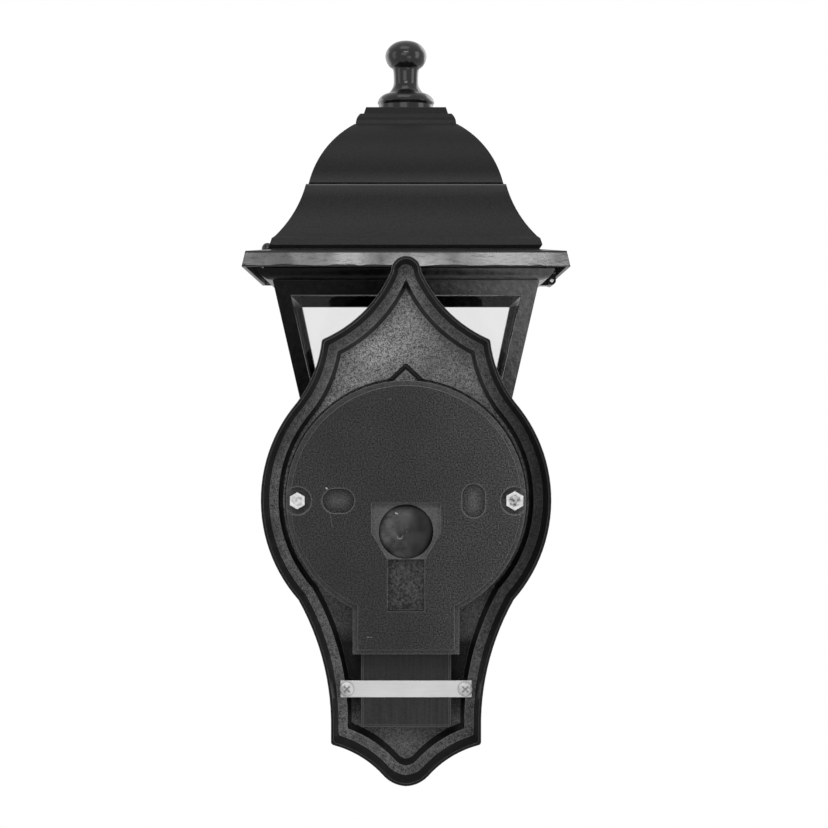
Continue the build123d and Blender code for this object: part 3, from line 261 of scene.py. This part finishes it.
# Back shield: depths of its faces, where its tones and its painted light and shade change, and its
# small peak as (x, z)
RIM_FACE = -0.009
SHIELD_FLOOR = -0.026
LEDGE_LIGHT_ACROSS = (-0.062, -0.005)
FLOOR_LIGHT_ACROSS = (-0.028, 0.028)
UPPER_LIGHT_ACROSS = (-0.03, 0.03)
UPPER_LIGHT_UPWARDS = (-0.05, 0.045)
ABOVE_BOX_SHADE = (-0.070, -0.060)
BELOW_BOX_SHADE = (-0.112, -0.088)
GLINT_UPWARDS = (0.02, 0.07)
PEAK_TOP = (0.0, 0.0644)
PEAK_SIDES = [(0.0095, 0.0555), (-0.0095, 0.0555)]
PEAK_SHADOW_LINE = 0.0012
SHIELD_GRAINS = 1700.0
SHIELD_LUMPS = 620.0
SHIELD_CLOUDS = 45.0
SHIELD_GRAIN_SHARE = 0.65
SHIELD_DARKEST = 0.006
SHIELD_WALL_GLOSS = 0.1
SHIELD_FLAT_GLOSS = 0.7


def shield_paint():
    """Rough cast paint: speckled on the ledge and the floor, smooth and darker on the walls;
    painted light makes the ledge and the floor lighter to one side and the floor lighter towards
    the top, painted shade darkens the floor beside the box and lines the peak's sides, and painted
    highlights lie on the edges.
    """
    material, tree, shader = new_material("cast_black")
    vector = coordinates(tree)
    x, y, z = parts_of(tree, vector)
    inner = calc(tree, "LESS_THAN", y, RIM_FACE)
    flat = product(tree, facing_wall(tree), inner)
    # Painted shadow: a dark line along each sloping side of the small peak
    for side in PEAK_SIDES:
        clear_of_peak_shadow = calc(tree, "GREATER_THAN", distance_to(tree, vector, side, PEAK_TOP), PEAK_SHADOW_LINE)
        flat = product(tree, flat, clear_of_peak_shadow)
    grains = noise(tree, vector, SHIELD_GRAINS, detail=2.0, roughness=0.6)
    lumps = noise(tree, vector, SHIELD_LUMPS, roughness=0.65)
    speckle = mixed(tree, grains, lumps, SHIELD_GRAIN_SHARE)

    # Painted light and shade: the ledge darker towards its -X end, the floor lighter towards -X low
    # down and towards +X at the top
    ledge_light = spread(tree, x, (0.2, 0.85), over=LEDGE_LIGHT_ACROSS)
    floor_light_across = spread(tree, x, (1.25, 0.8), over=FLOOR_LIGHT_ACROSS)
    upper_floor_light = product(tree, spread(tree, z, UNIT, over=UPPER_LIGHT_UPWARDS),
                    spread(tree, x, (0.1, 2.0), over=UPPER_LIGHT_ACROSS))
    # Painted shade on the floor beside the terminal box, darkest above its strap
    above_box_shade = spread(tree, z, UNIT, over=ABOVE_BOX_SHADE)
    below_box_shade = spread(tree, z, (0.9, 0.0), over=BELOW_BOX_SHADE)
    out_of_box_shade = calc(tree, "MAXIMUM", above_box_shade, below_box_shade)
    floor_light_and_shade = product(tree, total(tree, floor_light_across, upper_floor_light),
                       spread(tree, out_of_box_shade, (0.08, 1.0), over=UNIT))
    peak_face = product(tree, calc(tree, "LESS_THAN", calc(tree, "ABSOLUTE", x), PEAK_SIDES[0][0]),
                        calc(tree, "GREATER_THAN", z, PEAK_SIDES[0][1]),
                        calc(tree, "LESS_THAN", z, PEAK_TOP[1]))
    floor_mask = calc(tree, "MAXIMUM", at_level(tree, y, SHIELD_FLOOR), peak_face)
    ledge_mask = calc(tree, "SUBTRACT", 1.0, floor_mask)
    level = total(tree, product(tree, floor_mask, floor_light_and_shade), product(tree, ledge_mask, ledge_light))

    clouds = spread(tree, noise(tree, vector, SHIELD_CLOUDS), (0.65, 1.3), over=NOISE_CORE)
    tone = product(tree, spread(tree, speckle, (0.0, 0.22), over=(0.4, 0.6)), level, clouds, flat)
    # Painted highlights along the edges, stronger towards the top
    glint = product(tree, edge_mask(tree, radius=0.0006),
                    spread(tree, z, (0.1, 0.22), over=GLINT_UPWARDS))
    sheen = product(tree, flat, spread(tree, level, (0.0, 0.5), over=(0.1, 1.0)))
    gloss = total(tree, product(tree, sheen, SHIELD_FLAT_GLOSS), SHIELD_WALL_GLOSS)
    set_dielectric(tree, shader, total(tree, tone, SHIELD_DARKEST, glint), gloss,
                   spread(tree, flat, (0.3, 0.5), over=UNIT))
    height = product(tree, speckle, spread(tree, flat, (0.15, 1.0), over=UNIT))
    bump(tree, shader, height, depth=0.0003, edge=0.0007)
    return material


# Wall plate: depths of its floors, and places as (x, z) with a radius and a change of tone
HOUSE_FLOOR = -0.0036
CHANNEL_FLOOR = -0.008
BORDER_FLOOR = -0.0045
PLATE_LIGHT_ACROSS = (-0.05, 0.0)
KNOCKOUTS = [((0.0302, 0), (0.0338, 0), 0.0059), ((-0.032, 0.0025), (-0.032, -0.0025), 0.00555)]
PLATE_MARKS = [
    ((0.0378, 0.0061), (0.0374, 0.0058), 0.00035, 0.4),
    ((0.0358, -0.0060), (0.0350, -0.0122), 0.00016, 0.05),
    ((-0.0239, 0.0172), (-0.0239, 0.0172), 0.0003, 0.06),
    ((-0.0352, 0.0342), (-0.0352, 0.0342), 0.0003, 0.08),
    ((0.0182, -0.0644), (0.0176, -0.0645), 0.0003, 0.12),
    ((0.0165, -0.0646), (0.0163, -0.0646), 0.0003, 0.1),
    ((-0.0442, -0.0196), (-0.0446, -0.0200), 0.0003, 0.08),
    ((0.0080, 0.0480), (0.0072, 0.0483), 0.0003, 0.05),
]
BOLTS = [((0.0515, 0), 0.0026, 0.20), ((-0.0515, 0), 0.0031, 0.33)]
BOLT_SEAT_RADIUS = 0.0066
PLATE_GRAINS = 1500.0
PLATE_CLOUDS = 38.0
CHANNEL_GRAINS = 800.0


def plate_plastic():
    """Fine-grained grey-black plastic, with its recesses, knock-outs, scuffs and specks; painted
    light makes it lighter to one side, painted light and shade dish the knock-outs, and painted
    highlights ring the bolt seats and line its edges.
    """
    material, tree, shader = new_material("plate_grey")
    vector = coordinates(tree)
    x, y, _ = parts_of(tree, vector)
    fine = noise(tree, vector, PLATE_GRAINS, detail=2.0, roughness=0.6)
    broad = noise(tree, vector, PLATE_CLOUDS)
    coarse = noise(tree, vector, CHANNEL_GRAINS, roughness=0.7)
    flat = facing_wall(tree)
    # Painted light: the plate lighter towards its -X side
    tone = product(tree, spread(tree, fine, (0.0, 0.052), over=(0.37, 0.63)),
                   spread(tree, broad, (0.78, 1.2)),
                   spread(tree, x, (1.75, 1.0), over=PLATE_LIGHT_ACROSS))
    floors = [
        (HOUSE_FLOOR, 0.09),
        (CHANNEL_FLOOR, spread(tree, coarse, (0.0, 0.09), over=(0.42, 0.62))),
        (BORDER_FLOOR, 0.04),
    ]
    for level, lift in floors:
        tone = total(tree, tone, product(tree, at_level(tree, y, level), flat, lift))
    for first, second, radius in KNOCKOUTS:
        share = calc(tree, "DIVIDE", distance_to(tree, vector, first, second), radius)
        inside = calc(tree, "LESS_THAN", share, 1.0)
        # Painted light and shade on each knock-out: a lighter middle, a darker ring inside its edge
        # and a highlight along its lip
        dish_light = spread(tree, share, (0.05, 0.0), over=(0.0, 0.75))
        ring = product(tree, at_level(tree, share, 0.9, margin=0.05), -0.008)
        lip_highlight = product(tree, at_level(tree, share, 1.04, margin=0.05), 0.024)
        tone = total(tree, tone, product(tree, inside, total(tree, dish_light, ring)), lip_highlight)
    for first, second, radius, lift in PLATE_MARKS:
        near = calc(tree, "LESS_THAN", distance_to(tree, vector, first, second), radius)
        tone = total(tree, tone, product(tree, near, lift))
    # Painted highlight: a thin light ring round the edge of each bolt seat
    for middle, _, _ in BOLTS:
        share = calc(tree, "DIVIDE", distance_to(tree, vector, middle), BOLT_SEAT_RADIUS)
        tone = total(tree, tone, product(tree, at_level(tree, share, 1.03, margin=0.06), 0.04))
    # Painted highlights along the edges
    glint = product(tree, edge_mask(tree, radius=0.0005), 0.17)
    set_dielectric(tree, shader, total(tree, tone, glint),
                   gloss=0.17, rough=spread(tree, broad, (0.46, 0.58)))
    bump(tree, shader, fine, depth=0.00012, edge=0.0004)
    return material


# Grommet: places as (x, z)
GROMMET_MIDDLE = (0.0, -0.0147)
GROMMET_RADIUS = 0.0129
GROMMET_FOOT = (GROMMET_RADIUS * 0.88, GROMMET_RADIUS)
GROMMET_ACROSS = (-0.004, 0.008)
GROMMET_SHINE = ((0.0050, -0.0058), (0.0041, -0.0062))
GROMMET_SHINE_HALF = 0.00025
NUB = (0.0030, -0.0168)
NUB_RADIUS = 0.0012
NUB_RING_HALF = 0.0005
LIT_CRESCENT_UPWARDS = (-0.0178, -0.0164)
GROMMET_SMUDGES = 170.0
GROMMET_DARKEST = 0.004


def grommet_rubber():
    """Semi-gloss rubber with a moulded nub, a dark foot and pale smudges, the whole paler towards
    one side, with a painted highlight streak on the dome and a painted light crescent on the nub.
    """
    material, tree, shader = new_material("rubber")
    vector = coordinates(tree)
    x, _, z = parts_of(tree, vector)
    smudges = noise(tree, vector, GROMMET_SMUDGES)
    body = product(
        tree,
        spread(tree, smudges, (0.03, 0.15), over=(0.38, 0.7)),
        spread(tree, x, (0.12, 1.0), over=GROMMET_ACROSS),
        spread(tree, distance_to(tree, vector, GROMMET_MIDDLE), (1.0, 0.1), over=GROMMET_FOOT),
    )
    # Painted highlight: a small light streak on the dome
    shine = calc(
        tree, "LESS_THAN", distance_to(tree, vector, *GROMMET_SHINE), GROMMET_SHINE_HALF
    )
    from_ring = calc(tree, "SUBTRACT", distance_to(tree, vector, NUB), NUB_RADIUS)
    ring = spread(tree, calc(tree, "ABSOLUTE", from_ring), (1.0, 0.0), over=(0.0, NUB_RING_HALF))
    # Painted highlight: a light crescent on the lower side of the nub's ring
    lit_crescent = product(tree, ring, spread(tree, z, (0.3, 0.0), over=LIT_CRESCENT_UPWARDS))
    tone = total(tree, body, product(tree, shine, 0.5), lit_crescent, GROMMET_DARKEST)
    set_dielectric(tree, shader, tone, gloss=0.22, rough=spread(tree, smudges, (0.25, 0.42)))
    height = total(tree, ring, product(tree, smudges, 0.12))
    bump(tree, shader, height, depth=0.0004, edge=0.0004)
    return material


# Roof: levels of its brim and its seam
BRIM_FOOT = 0.1133
BRIM_TOP = 0.1211
BRIM_FACE_TOP = BRIM_TOP + 0.0002
BRIM_EDGE = (BRIM_TOP - 0.0009, BRIM_TOP - 0.0006)
RAGGED_FOOT = (BRIM_FOOT + 0.0020, BRIM_FOOT + 0.0025)
RAGGED_DEPTH = 0.0032
SEAM = 0.1568
UNDER_SEAM = (SEAM - 0.007, SEAM)
ABOVE_SEAM = (SEAM + 0.0002, SEAM + 0.007)
SEAM_LINE = SEAM - 0.0003
SEAM_GROOVE = SEAM + 0.0005
SEAM_HALF = 0.0004
ROOF_LIGHT_UPWARDS = (0.128, 0.165)
ROOF_GRAINS = 1100.0
BRIM_WAVES = 60.0
BRIM_PATCHES = 34.0
ROOF_GLOSS = 0.13


def roof_paint():
    """Smooth satin black of the roof, with painted light: lighter low down and darker towards the
    top, a painted reflection in waves on the brim's back face, and painted highlights on the edges
    and about the seam; the brim's back face is glossier, with a ragged dark foot.
    """
    material, tree, shader = new_material("roof_black")
    vector = coordinates(tree)
    _, _, z = parts_of(tree, vector)
    fine = noise(tree, vector, ROOF_GRAINS, detail=2.0)
    waves = noise(tree, coordinates(tree, (1, 1, 2.2)), BRIM_WAVES, roughness=0.5)
    patches = noise(tree, coordinates(tree, (1, 1, 0.6)), BRIM_PATCHES)
    ragged = total(tree, z, product(tree, waves, RAGGED_DEPTH))
    brim = product(
        tree,
        calc(tree, "LESS_THAN", z, BRIM_FACE_TOP),
        facing_wall(tree),
        spread(tree, ragged, UNIT, over=RAGGED_FOOT),
        spread(tree, z, (1.0, 0.0), over=BRIM_EDGE),
    )
    # Painted highlights: a soft light band either side of the seam and a thin light line just under
    # it
    under_seam = product(tree, calc(tree, "LESS_THAN", z, SEAM),
                         spread(tree, z, UNIT, over=UNDER_SEAM))
    above_seam = product(tree, calc(tree, "GREATER_THAN", z, SEAM),
                         spread(tree, z, (1.0, 0.0), over=ABOVE_SEAM))
    seam_light = total(
        tree,
        product(tree, under_seam, 0.02),
        product(tree, above_seam, 0.016),
        product(tree, at_level(tree, z, SEAM_LINE, SEAM_HALF), 0.07),
    )
    open_paint = calc(tree, "SUBTRACT", 1.0, at_level(tree, z, SEAM_GROOVE, SEAM_HALF))
    # Painted light: lighter low on the roof and darker towards its top; painted reflection in waves
    # on the brim's back face; painted highlights on the edges
    tone = total(
        tree,
        product(tree, spread(tree, fine, (0.008, 0.015), over=NOISE_CORE),
                spread(tree, z, (1.4, 0.75), over=ROOF_LIGHT_UPWARDS)),
        product(tree, brim, spread(tree, waves, (0.0, 0.05))),
        product(tree, edge_mask(tree, radius=0.0005), 0.04),
        seam_light,
    )
    gloss = product(tree, brim, spread(tree, patches, (0.2, 1.0), over=(0.36, 0.6)))
    set_dielectric(tree, shader, product(tree, tone, open_paint),
                   product(tree, total(tree, gloss, ROOF_GLOSS), open_paint),
                   spread(tree, brim, (0.38, 0.22), over=UNIT))
    height = total(tree, product(tree, fine, 0.1), product(tree, brim, waves, 1.6))
    bump(tree, shader, height, depth=0.0004, edge=0.0006)
    return material


# Cage: the depth past which its far side lies, in painted shade, and where its painted light
# changes
FRAME_BACK = -0.1
FRAME_ACROSS = (-0.055, 0.015)
FRAME_GRAINS = 420.0


def frame_paint():
    """Cast black of the cage, with painted light and shade: lighter and glossier towards the side
    where the big lamp stands, darker on the far side's faces that look at the wall, and with
    painted highlights on its edges.
    """
    material, tree, shader = new_material("frame_black")
    vector = coordinates(tree)
    x, y, _ = parts_of(tree, vector)
    fine = noise(tree, vector, FRAME_GRAINS, roughness=0.6)
    # Painted shade on the far side's faces that look at the wall, and painted light towards the
    # side of the big lamp
    shaded_far_side = product(tree, facing_wall(tree), calc(tree, "LESS_THAN", y, FRAME_BACK))
    light = product(tree, spread(tree, x, (2.3, 0.25), over=FRAME_ACROSS),
                    spread(tree, shaded_far_side, (1.0, 0.3), over=UNIT))
    tone = product(tree, spread(tree, fine, (0.004, 0.026), over=NOISE_CORE), light)
    # Painted highlights along the edges
    glint = product(tree, edge_mask(tree, radius=0.0005), 0.09)
    gloss = spread(tree, light, (0.05, 0.6), over=(0.1, 2.3))
    set_dielectric(tree, shader, total(tree, tone, glint), gloss, rough=0.32)
    bump(tree, shader, fine, depth=0.00025, edge=0.0005)
    return material


# Lid of the box: its painted highlight lines along the border and edges, and where its tone changes
LID_HIGHLIGHTS_X = (0.0205, 0.0213)
LID_HIGHLIGHTS_Z = (-0.1079, -0.1087)
LID_HIGHLIGHT_HALF = 0.00025
LID_UPWARDS = (-0.105, -0.075)
LID_STREAKS = 700.0
LID_GRAINS = 1400.0


def lid_plastic():
    """Moulded black of the lid, drawn upright, with painted highlight lines along its border and
    edges, painted highlights on its sharp edges, and darker towards its top.
    """
    material, tree, shader = new_material("lid_black")
    vector = coordinates(tree)
    x, _, z = parts_of(tree, vector)
    drawn = noise(tree, coordinates(tree, (1, 1, 0.05)), LID_STREAKS)
    fine = noise(tree, vector, LID_GRAINS, detail=2.0)
    grain = mixed(tree, drawn, fine, 0.5)
    tone = product(tree, spread(tree, grain, (0.009, 0.026), over=(0.37, 0.63)),
                   spread(tree, z, (1.45, 0.65), over=LID_UPWARDS))
    # Painted highlights: thin light lines along the lid's border and edges
    border_highlights = 0.0
    for value, levels in ((calc(tree, "ABSOLUTE", x), LID_HIGHLIGHTS_X), (z, LID_HIGHLIGHTS_Z)):
        for level in levels:
            border_highlights = calc(tree, "MAXIMUM", border_highlights, at_level(tree, value, level, LID_HIGHLIGHT_HALF))
    border_highlights = product(tree, border_highlights, facing_wall(tree), 0.06)
    # Painted highlights along the edges
    glint = product(tree, edge_mask(tree, radius=0.0004), 0.05)
    set_dielectric(tree, shader, total(tree, tone, glint, border_highlights), gloss=0.2, rough=0.45)
    bump(tree, shader, fine, depth=0.00005, edge=0.0004)
    return material


# Metals and glass
STEEL = (0.78, 0.78, 0.79)
BRASS = (0.75, 0.56, 0.25)
ALUMINIUM = (0.54, 0.54, 0.54)
METAL_STREAKS = 1500.0
METAL_BLOTCHES = 90.0
METAL_DEPTH = 0.00001
METAL_ROUGH_BELOW = 0.05
METAL_ROUGH_ABOVE = 0.08


def metal(name, tone, rough, edge, stretch=(1, 1, 1), metallic=1.0):
    """Plated or brushed metal: streaks that may be stretched along one direction."""
    material, tree, shader = new_material(name)
    streaks = noise(tree, coordinates(tree, stretch), METAL_STREAKS)
    blotches = noise(tree, coordinates(tree), METAL_BLOTCHES)
    wear = mixed(tree, streaks, blotches, 0.5)
    shade = vector_calc(tree, "SCALE", tone)
    tree.links.new(spread(tree, wear, (0.86, 1.0), over=NOISE_CORE), shade.inputs["Scale"])
    tree.links.new(shade.outputs["Vector"], shader.inputs["Base Color"])
    set_metal(tree, shader, metallic,
              spread(tree, wear, (rough - METAL_ROUGH_BELOW, rough + METAL_ROUGH_ABOVE)))
    bump(tree, shader, streaks, METAL_DEPTH, edge)
    return material


BOLT_MOTTLE = 620.0


def bolt_zinc():
    """Bright zinc whose bolt heads are dull and mottled in a round middle."""
    material, tree, shader = new_material("bolt_zinc")
    vector = coordinates(tree)
    mottle = noise(tree, vector, BOLT_MOTTLE)
    tone = spread(tree, mottle, (0.4, 0.54), over=NOISE_CORE)
    for middle, radius, dull in BOLTS:
        inside = spread(
            tree, distance_to(tree, vector, middle), (1.0, 0.0), over=(radius * 0.8, radius)
        )
        darker = spread(tree, mottle, (dull, dull * 0.4), over=(0.4, 0.62))
        tone = calc(tree, "SUBTRACT", tone, product(tree, inside, facing_wall(tree), darker))
    set_grey(tree, shader, tone)
    set_metal(tree, shader, metallic=0.85, rough=0.36)
    bump(tree, shader, mottle, depth=0.00003, edge=0.0003)
    return material


# Screws of the strap: places as (x, z)
STRAP_SCREWS = [(0.0283, -0.0905), (-0.0283, -0.0905)]
SCREW_HEAD_RADIUS = 0.0035
SCREW_SPOTS = 520.0
CROSS_REACH = 0.0012
CROSS_HALF = 0.0004
CROSS_FADE = (CROSS_HALF * 0.6, CROSS_HALF * 1.3)
HEAD_FLATNESS = 0.25


def screw_zinc():
    """Bright zinc with painted shade in the cross recess and a painted shadow round the head's
    edge, shaded as a flatter head.
    """
    material, tree, shader = new_material("screw_zinc")
    vector = coordinates(tree)
    tone = spread(tree, noise(tree, vector, SCREW_SPOTS), (1.0, 0.75), over=(0.54, 0.62))
    for x, z in STRAP_SCREWS:
        # Painted shade in the cross recess
        for turn in (1, -1):
            first = (x - CROSS_REACH, z - turn * CROSS_REACH)
            second = (x + CROSS_REACH, z + turn * CROSS_REACH)
            from_groove = distance_to(tree, vector, first, second)
            tone = product(tree, tone, spread(tree, from_groove, (0.6, 1.0), over=CROSS_FADE))
        # Painted shadow round the edge of the head
        share = calc(tree, "DIVIDE", distance_to(tree, vector, (x, z)), SCREW_HEAD_RADIUS)
        tone = product(tree, tone, spread(tree, share, (1.0, 0.45), over=(0.9, 1.0)))
    set_grey(tree, shader, tone)
    set_metal(tree, shader, metallic=0.7, rough=0.4)
    lowered = vector_calc(
        tree, "MULTIPLY", surface_normal(tree), (HEAD_FLATNESS, 1, HEAD_FLATNESS)
    )
    flatter = vector_calc(tree, "NORMALIZE", lowered.outputs["Vector"])
    tree.links.new(flatter.outputs["Vector"], shader.inputs["Normal"])
    return material


# Panes: their index is below that of real glass, so the lamps mirror in them only faintly
PANE_TINT = (0.9, 0.9, 0.9, 1)
PANE_IOR = 1.25
LIGHTING_RAYS = ["Is Shadow Ray", "Is Diffuse Ray"]
SEEN_RAYS = ["Is Camera Ray", "Is Transmission Ray", "Is Glossy Ray"]


def is_ray(tree, kinds):
    """1 for a ray of any of some kinds, else 0."""
    path = tree.nodes.new("ShaderNodeLightPath")
    return chain(tree, "MAXIMUM", [path.outputs[kind] for kind in kinds])


def choose(tree, factor, first, second):
    """The first of two shaders where a factor is 0, the second where it is 1."""
    mix = tree.nodes.new("ShaderNodeMixShader")
    tree.links.new(factor, mix.inputs["Fac"])
    tree.links.new(first, mix.inputs[1])
    tree.links.new(second, mix.inputs[2])
    return mix.outputs["Shader"]


def clear_glass():
    """Clear glass that lets the light of the lamps through unbent."""
    material, tree, shader = new_material("pane_glass")
    shader.inputs["Base Color"].default_value = PANE_TINT
    shader.inputs["Transmission Weight"].default_value = 1.0
    shader.inputs["IOR"].default_value = PANE_IOR
    shader.inputs["Roughness"].default_value = 0.0
    clear = tree.nodes.new("ShaderNodeBsdfTransparent")
    clear.inputs["Color"].default_value = PANE_TINT
    glass = choose(tree, is_ray(tree, LIGHTING_RAYS), shader.outputs["BSDF"],
                   clear.outputs["BSDF"])
    set_output(tree, glass)
    return material


# A paint: name, darkest and lightest tone, roughness, grains a metre, depth and edge in metres
FINISHES = [
    (shield_paint(), ["back_shield"]),
    (plate_plastic(), ["wall_plate"]),
    (grommet_rubber(), ["cable_grommet"]),
    (roof_paint(), ["roof_shell"]),
    (frame_paint(), ["lantern_frame"]),
    (lid_plastic(), ["terminal_box_lid"]),
    (paint("arm_black", (0.006, 0.016), 0.33, 700.0, 0.0001, 0.0004), ["swan_neck_arm"]),
    (paint("finial_black", (0.005, 0.012), 0.17, 300.0, 0.00005, 0.0003), ["finial"]),
    (paint("knob_black", (0.003, 0.006), 0.14, 300.0, 0.00005, 0.0003), ["latch_knob"]),
    (paint("box_black", (0.006, 0.012), 0.42, 1200.0, 0.00004, 0.0003), ["terminal_box"]),
    (paint("washer_rubber", (0.008, 0.014), 0.6, 600.0, 0.00005, 0.0002), ["seal_washers"]),
    (paint("holder_black", (0.010, 0.014), 0.35, 800.0, 0.00003, 0.0004),
     ["holder_cap", "holder_sleeve"]),
    (paint("block_white", (0.66, 0.74), 0.45, 500.0, 0.00003, 0.0003), ["terminal_block"]),
    (paint("ceramic_white", (0.72, 0.8), 0.25, 300.0, 0.00004, 0.0004), ["holder_core"]),
    (paint("lead_sleeve", (0.5, 0.6), 0.6, 900.0, 0.00005, 0.0002), ["lamp_leads"]),
    (bolt_zinc(), ["plate_bolts"]),
    (screw_zinc(), ["strap_screws"]),
    (metal("zinc", STEEL, rough=0.28, edge=0.0003),
     ["cap_nuts", "terminal_screws", "arm_screws", "lock_nut", "finial_nut", "hinge_pin",
      "latch_cam"]),
    (metal("strap_metal", ALUMINIUM, rough=0.42, edge=0.0002, stretch=(0.03, 1, 1), metallic=0.7),
     ["retaining_strap"]),
    (metal("plain_brass", BRASS, rough=0.3, edge=0.0002),
     ["lamp_thread_sleeve", "centre_contact", "terminal_sleeves", "threaded_nipple"]),
    (clear_glass(), ["pane_front", "pane_right", "pane_back", "pane_left"]),
]
for material, wearers in FINISHES:
    for name in wearers:
        nodes[name].data.materials.clear()
        nodes[name].data.materials.append(material)

# Floor, far below the part, and sky: white where they are seen, dimmer as a source of light
WHITE = (1, 1, 1, 1)
FLOOR_TONE = (0.86, 0.86, 0.86, 1)
FLOOR_ROUGHNESS = 0.9
FLOOR_GLOW = 0.7
FLOOR_SIZE = 3
FLOOR_PLACE = (0, -0.1, -0.9)
SKY_LIGHT = 0.24
SKY_SEEN = 1.0


def floor_white():
    """Matt white floor with a glow for the rays that see it directly."""
    material, tree, shader = new_material("floor_white")
    shader.inputs["Base Color"].default_value = FLOOR_TONE
    shader.inputs["Roughness"].default_value = FLOOR_ROUGHNESS
    glow = tree.nodes.new("ShaderNodeEmission")
    glow.inputs["Color"].default_value = WHITE
    strength = product(tree, is_ray(tree, SEEN_RAYS), FLOOR_GLOW)
    tree.links.new(strength, glow.inputs["Strength"])
    both = tree.nodes.new("ShaderNodeAddShader")
    tree.links.new(shader.outputs["BSDF"], both.inputs[0])
    tree.links.new(glow.outputs["Emission"], both.inputs[1])
    set_output(tree, both.outputs["Shader"])
    return material


def sky(tree, strength):
    """A plain white sky."""
    background = tree.nodes.new("ShaderNodeBackground")
    background.inputs["Color"].default_value = WHITE
    background.inputs["Strength"].default_value = strength
    return background.outputs["Background"]


bpy.ops.mesh.primitive_plane_add(size=FLOOR_SIZE, location=FLOOR_PLACE)
floor = bpy.context.object
floor.name = "floor"
floor.data.materials.append(floor_white())

world = bpy.data.worlds.new("studio")
scene.world = world
world.use_nodes = True
world_tree = world.node_tree
world_tree.nodes.clear()
world_tree.nodes.new("ShaderNodeOutputWorld")
set_output(world_tree, choose(world_tree, is_ray(world_tree, SEEN_RAYS),
                              sky(world_tree, SKY_LIGHT), sky(world_tree, SKY_SEEN)))

# Lamps: name, place, point they look at, width and height in metres, power in watts
MIDDLE = (0, -0.06, 0.05)
BRIM = (0, -0.04, 0.117)
LAMPS = [
    ("overhead", (0.1, 0.3, 1.2), MIDDLE, 0.7, 0.5, 2.2),
    ("right_side", (-1.1, 0.35, 0.25), MIDDLE, 0.5, 1.1, 4.8),
    ("left_side", (1.1, 0.3, 0.25), MIDDLE, 0.5, 1.1, 2.2),
    ("front", (0.3, 1.5, 0.3), MIDDLE, 0.8, 0.6, 3.2),
    ("brim_strip", (0, 1.365, 0.883), BRIM, 0.7, 0.24, 5.4),
    ("low_right", (-0.4, 1.05, -0.33), MIDDLE, 0.5, 0.3, 1.1),
    ("street_left", (-1.1, -1.3, 0.7), MIDDLE, 1.0, 1.4, 9),
    ("street_right", (1.1, -1.1, 0.2), MIDDLE, 1.0, 1.5, 6),
]
for name, place, target, width, height, power in LAMPS:
    data = bpy.data.lights.new(name, "AREA")
    data.shape = "RECTANGLE"
    data.size = width
    data.size_y = height
    data.energy = power
    lamp = bpy.data.objects.new(name, data)
    lamp.location = place
    aim = Vector(target) - Vector(place)
    lamp.rotation_euler = aim.to_track_quat("-Z", "Y").to_euler()
    scene.collection.objects.link(lamp)
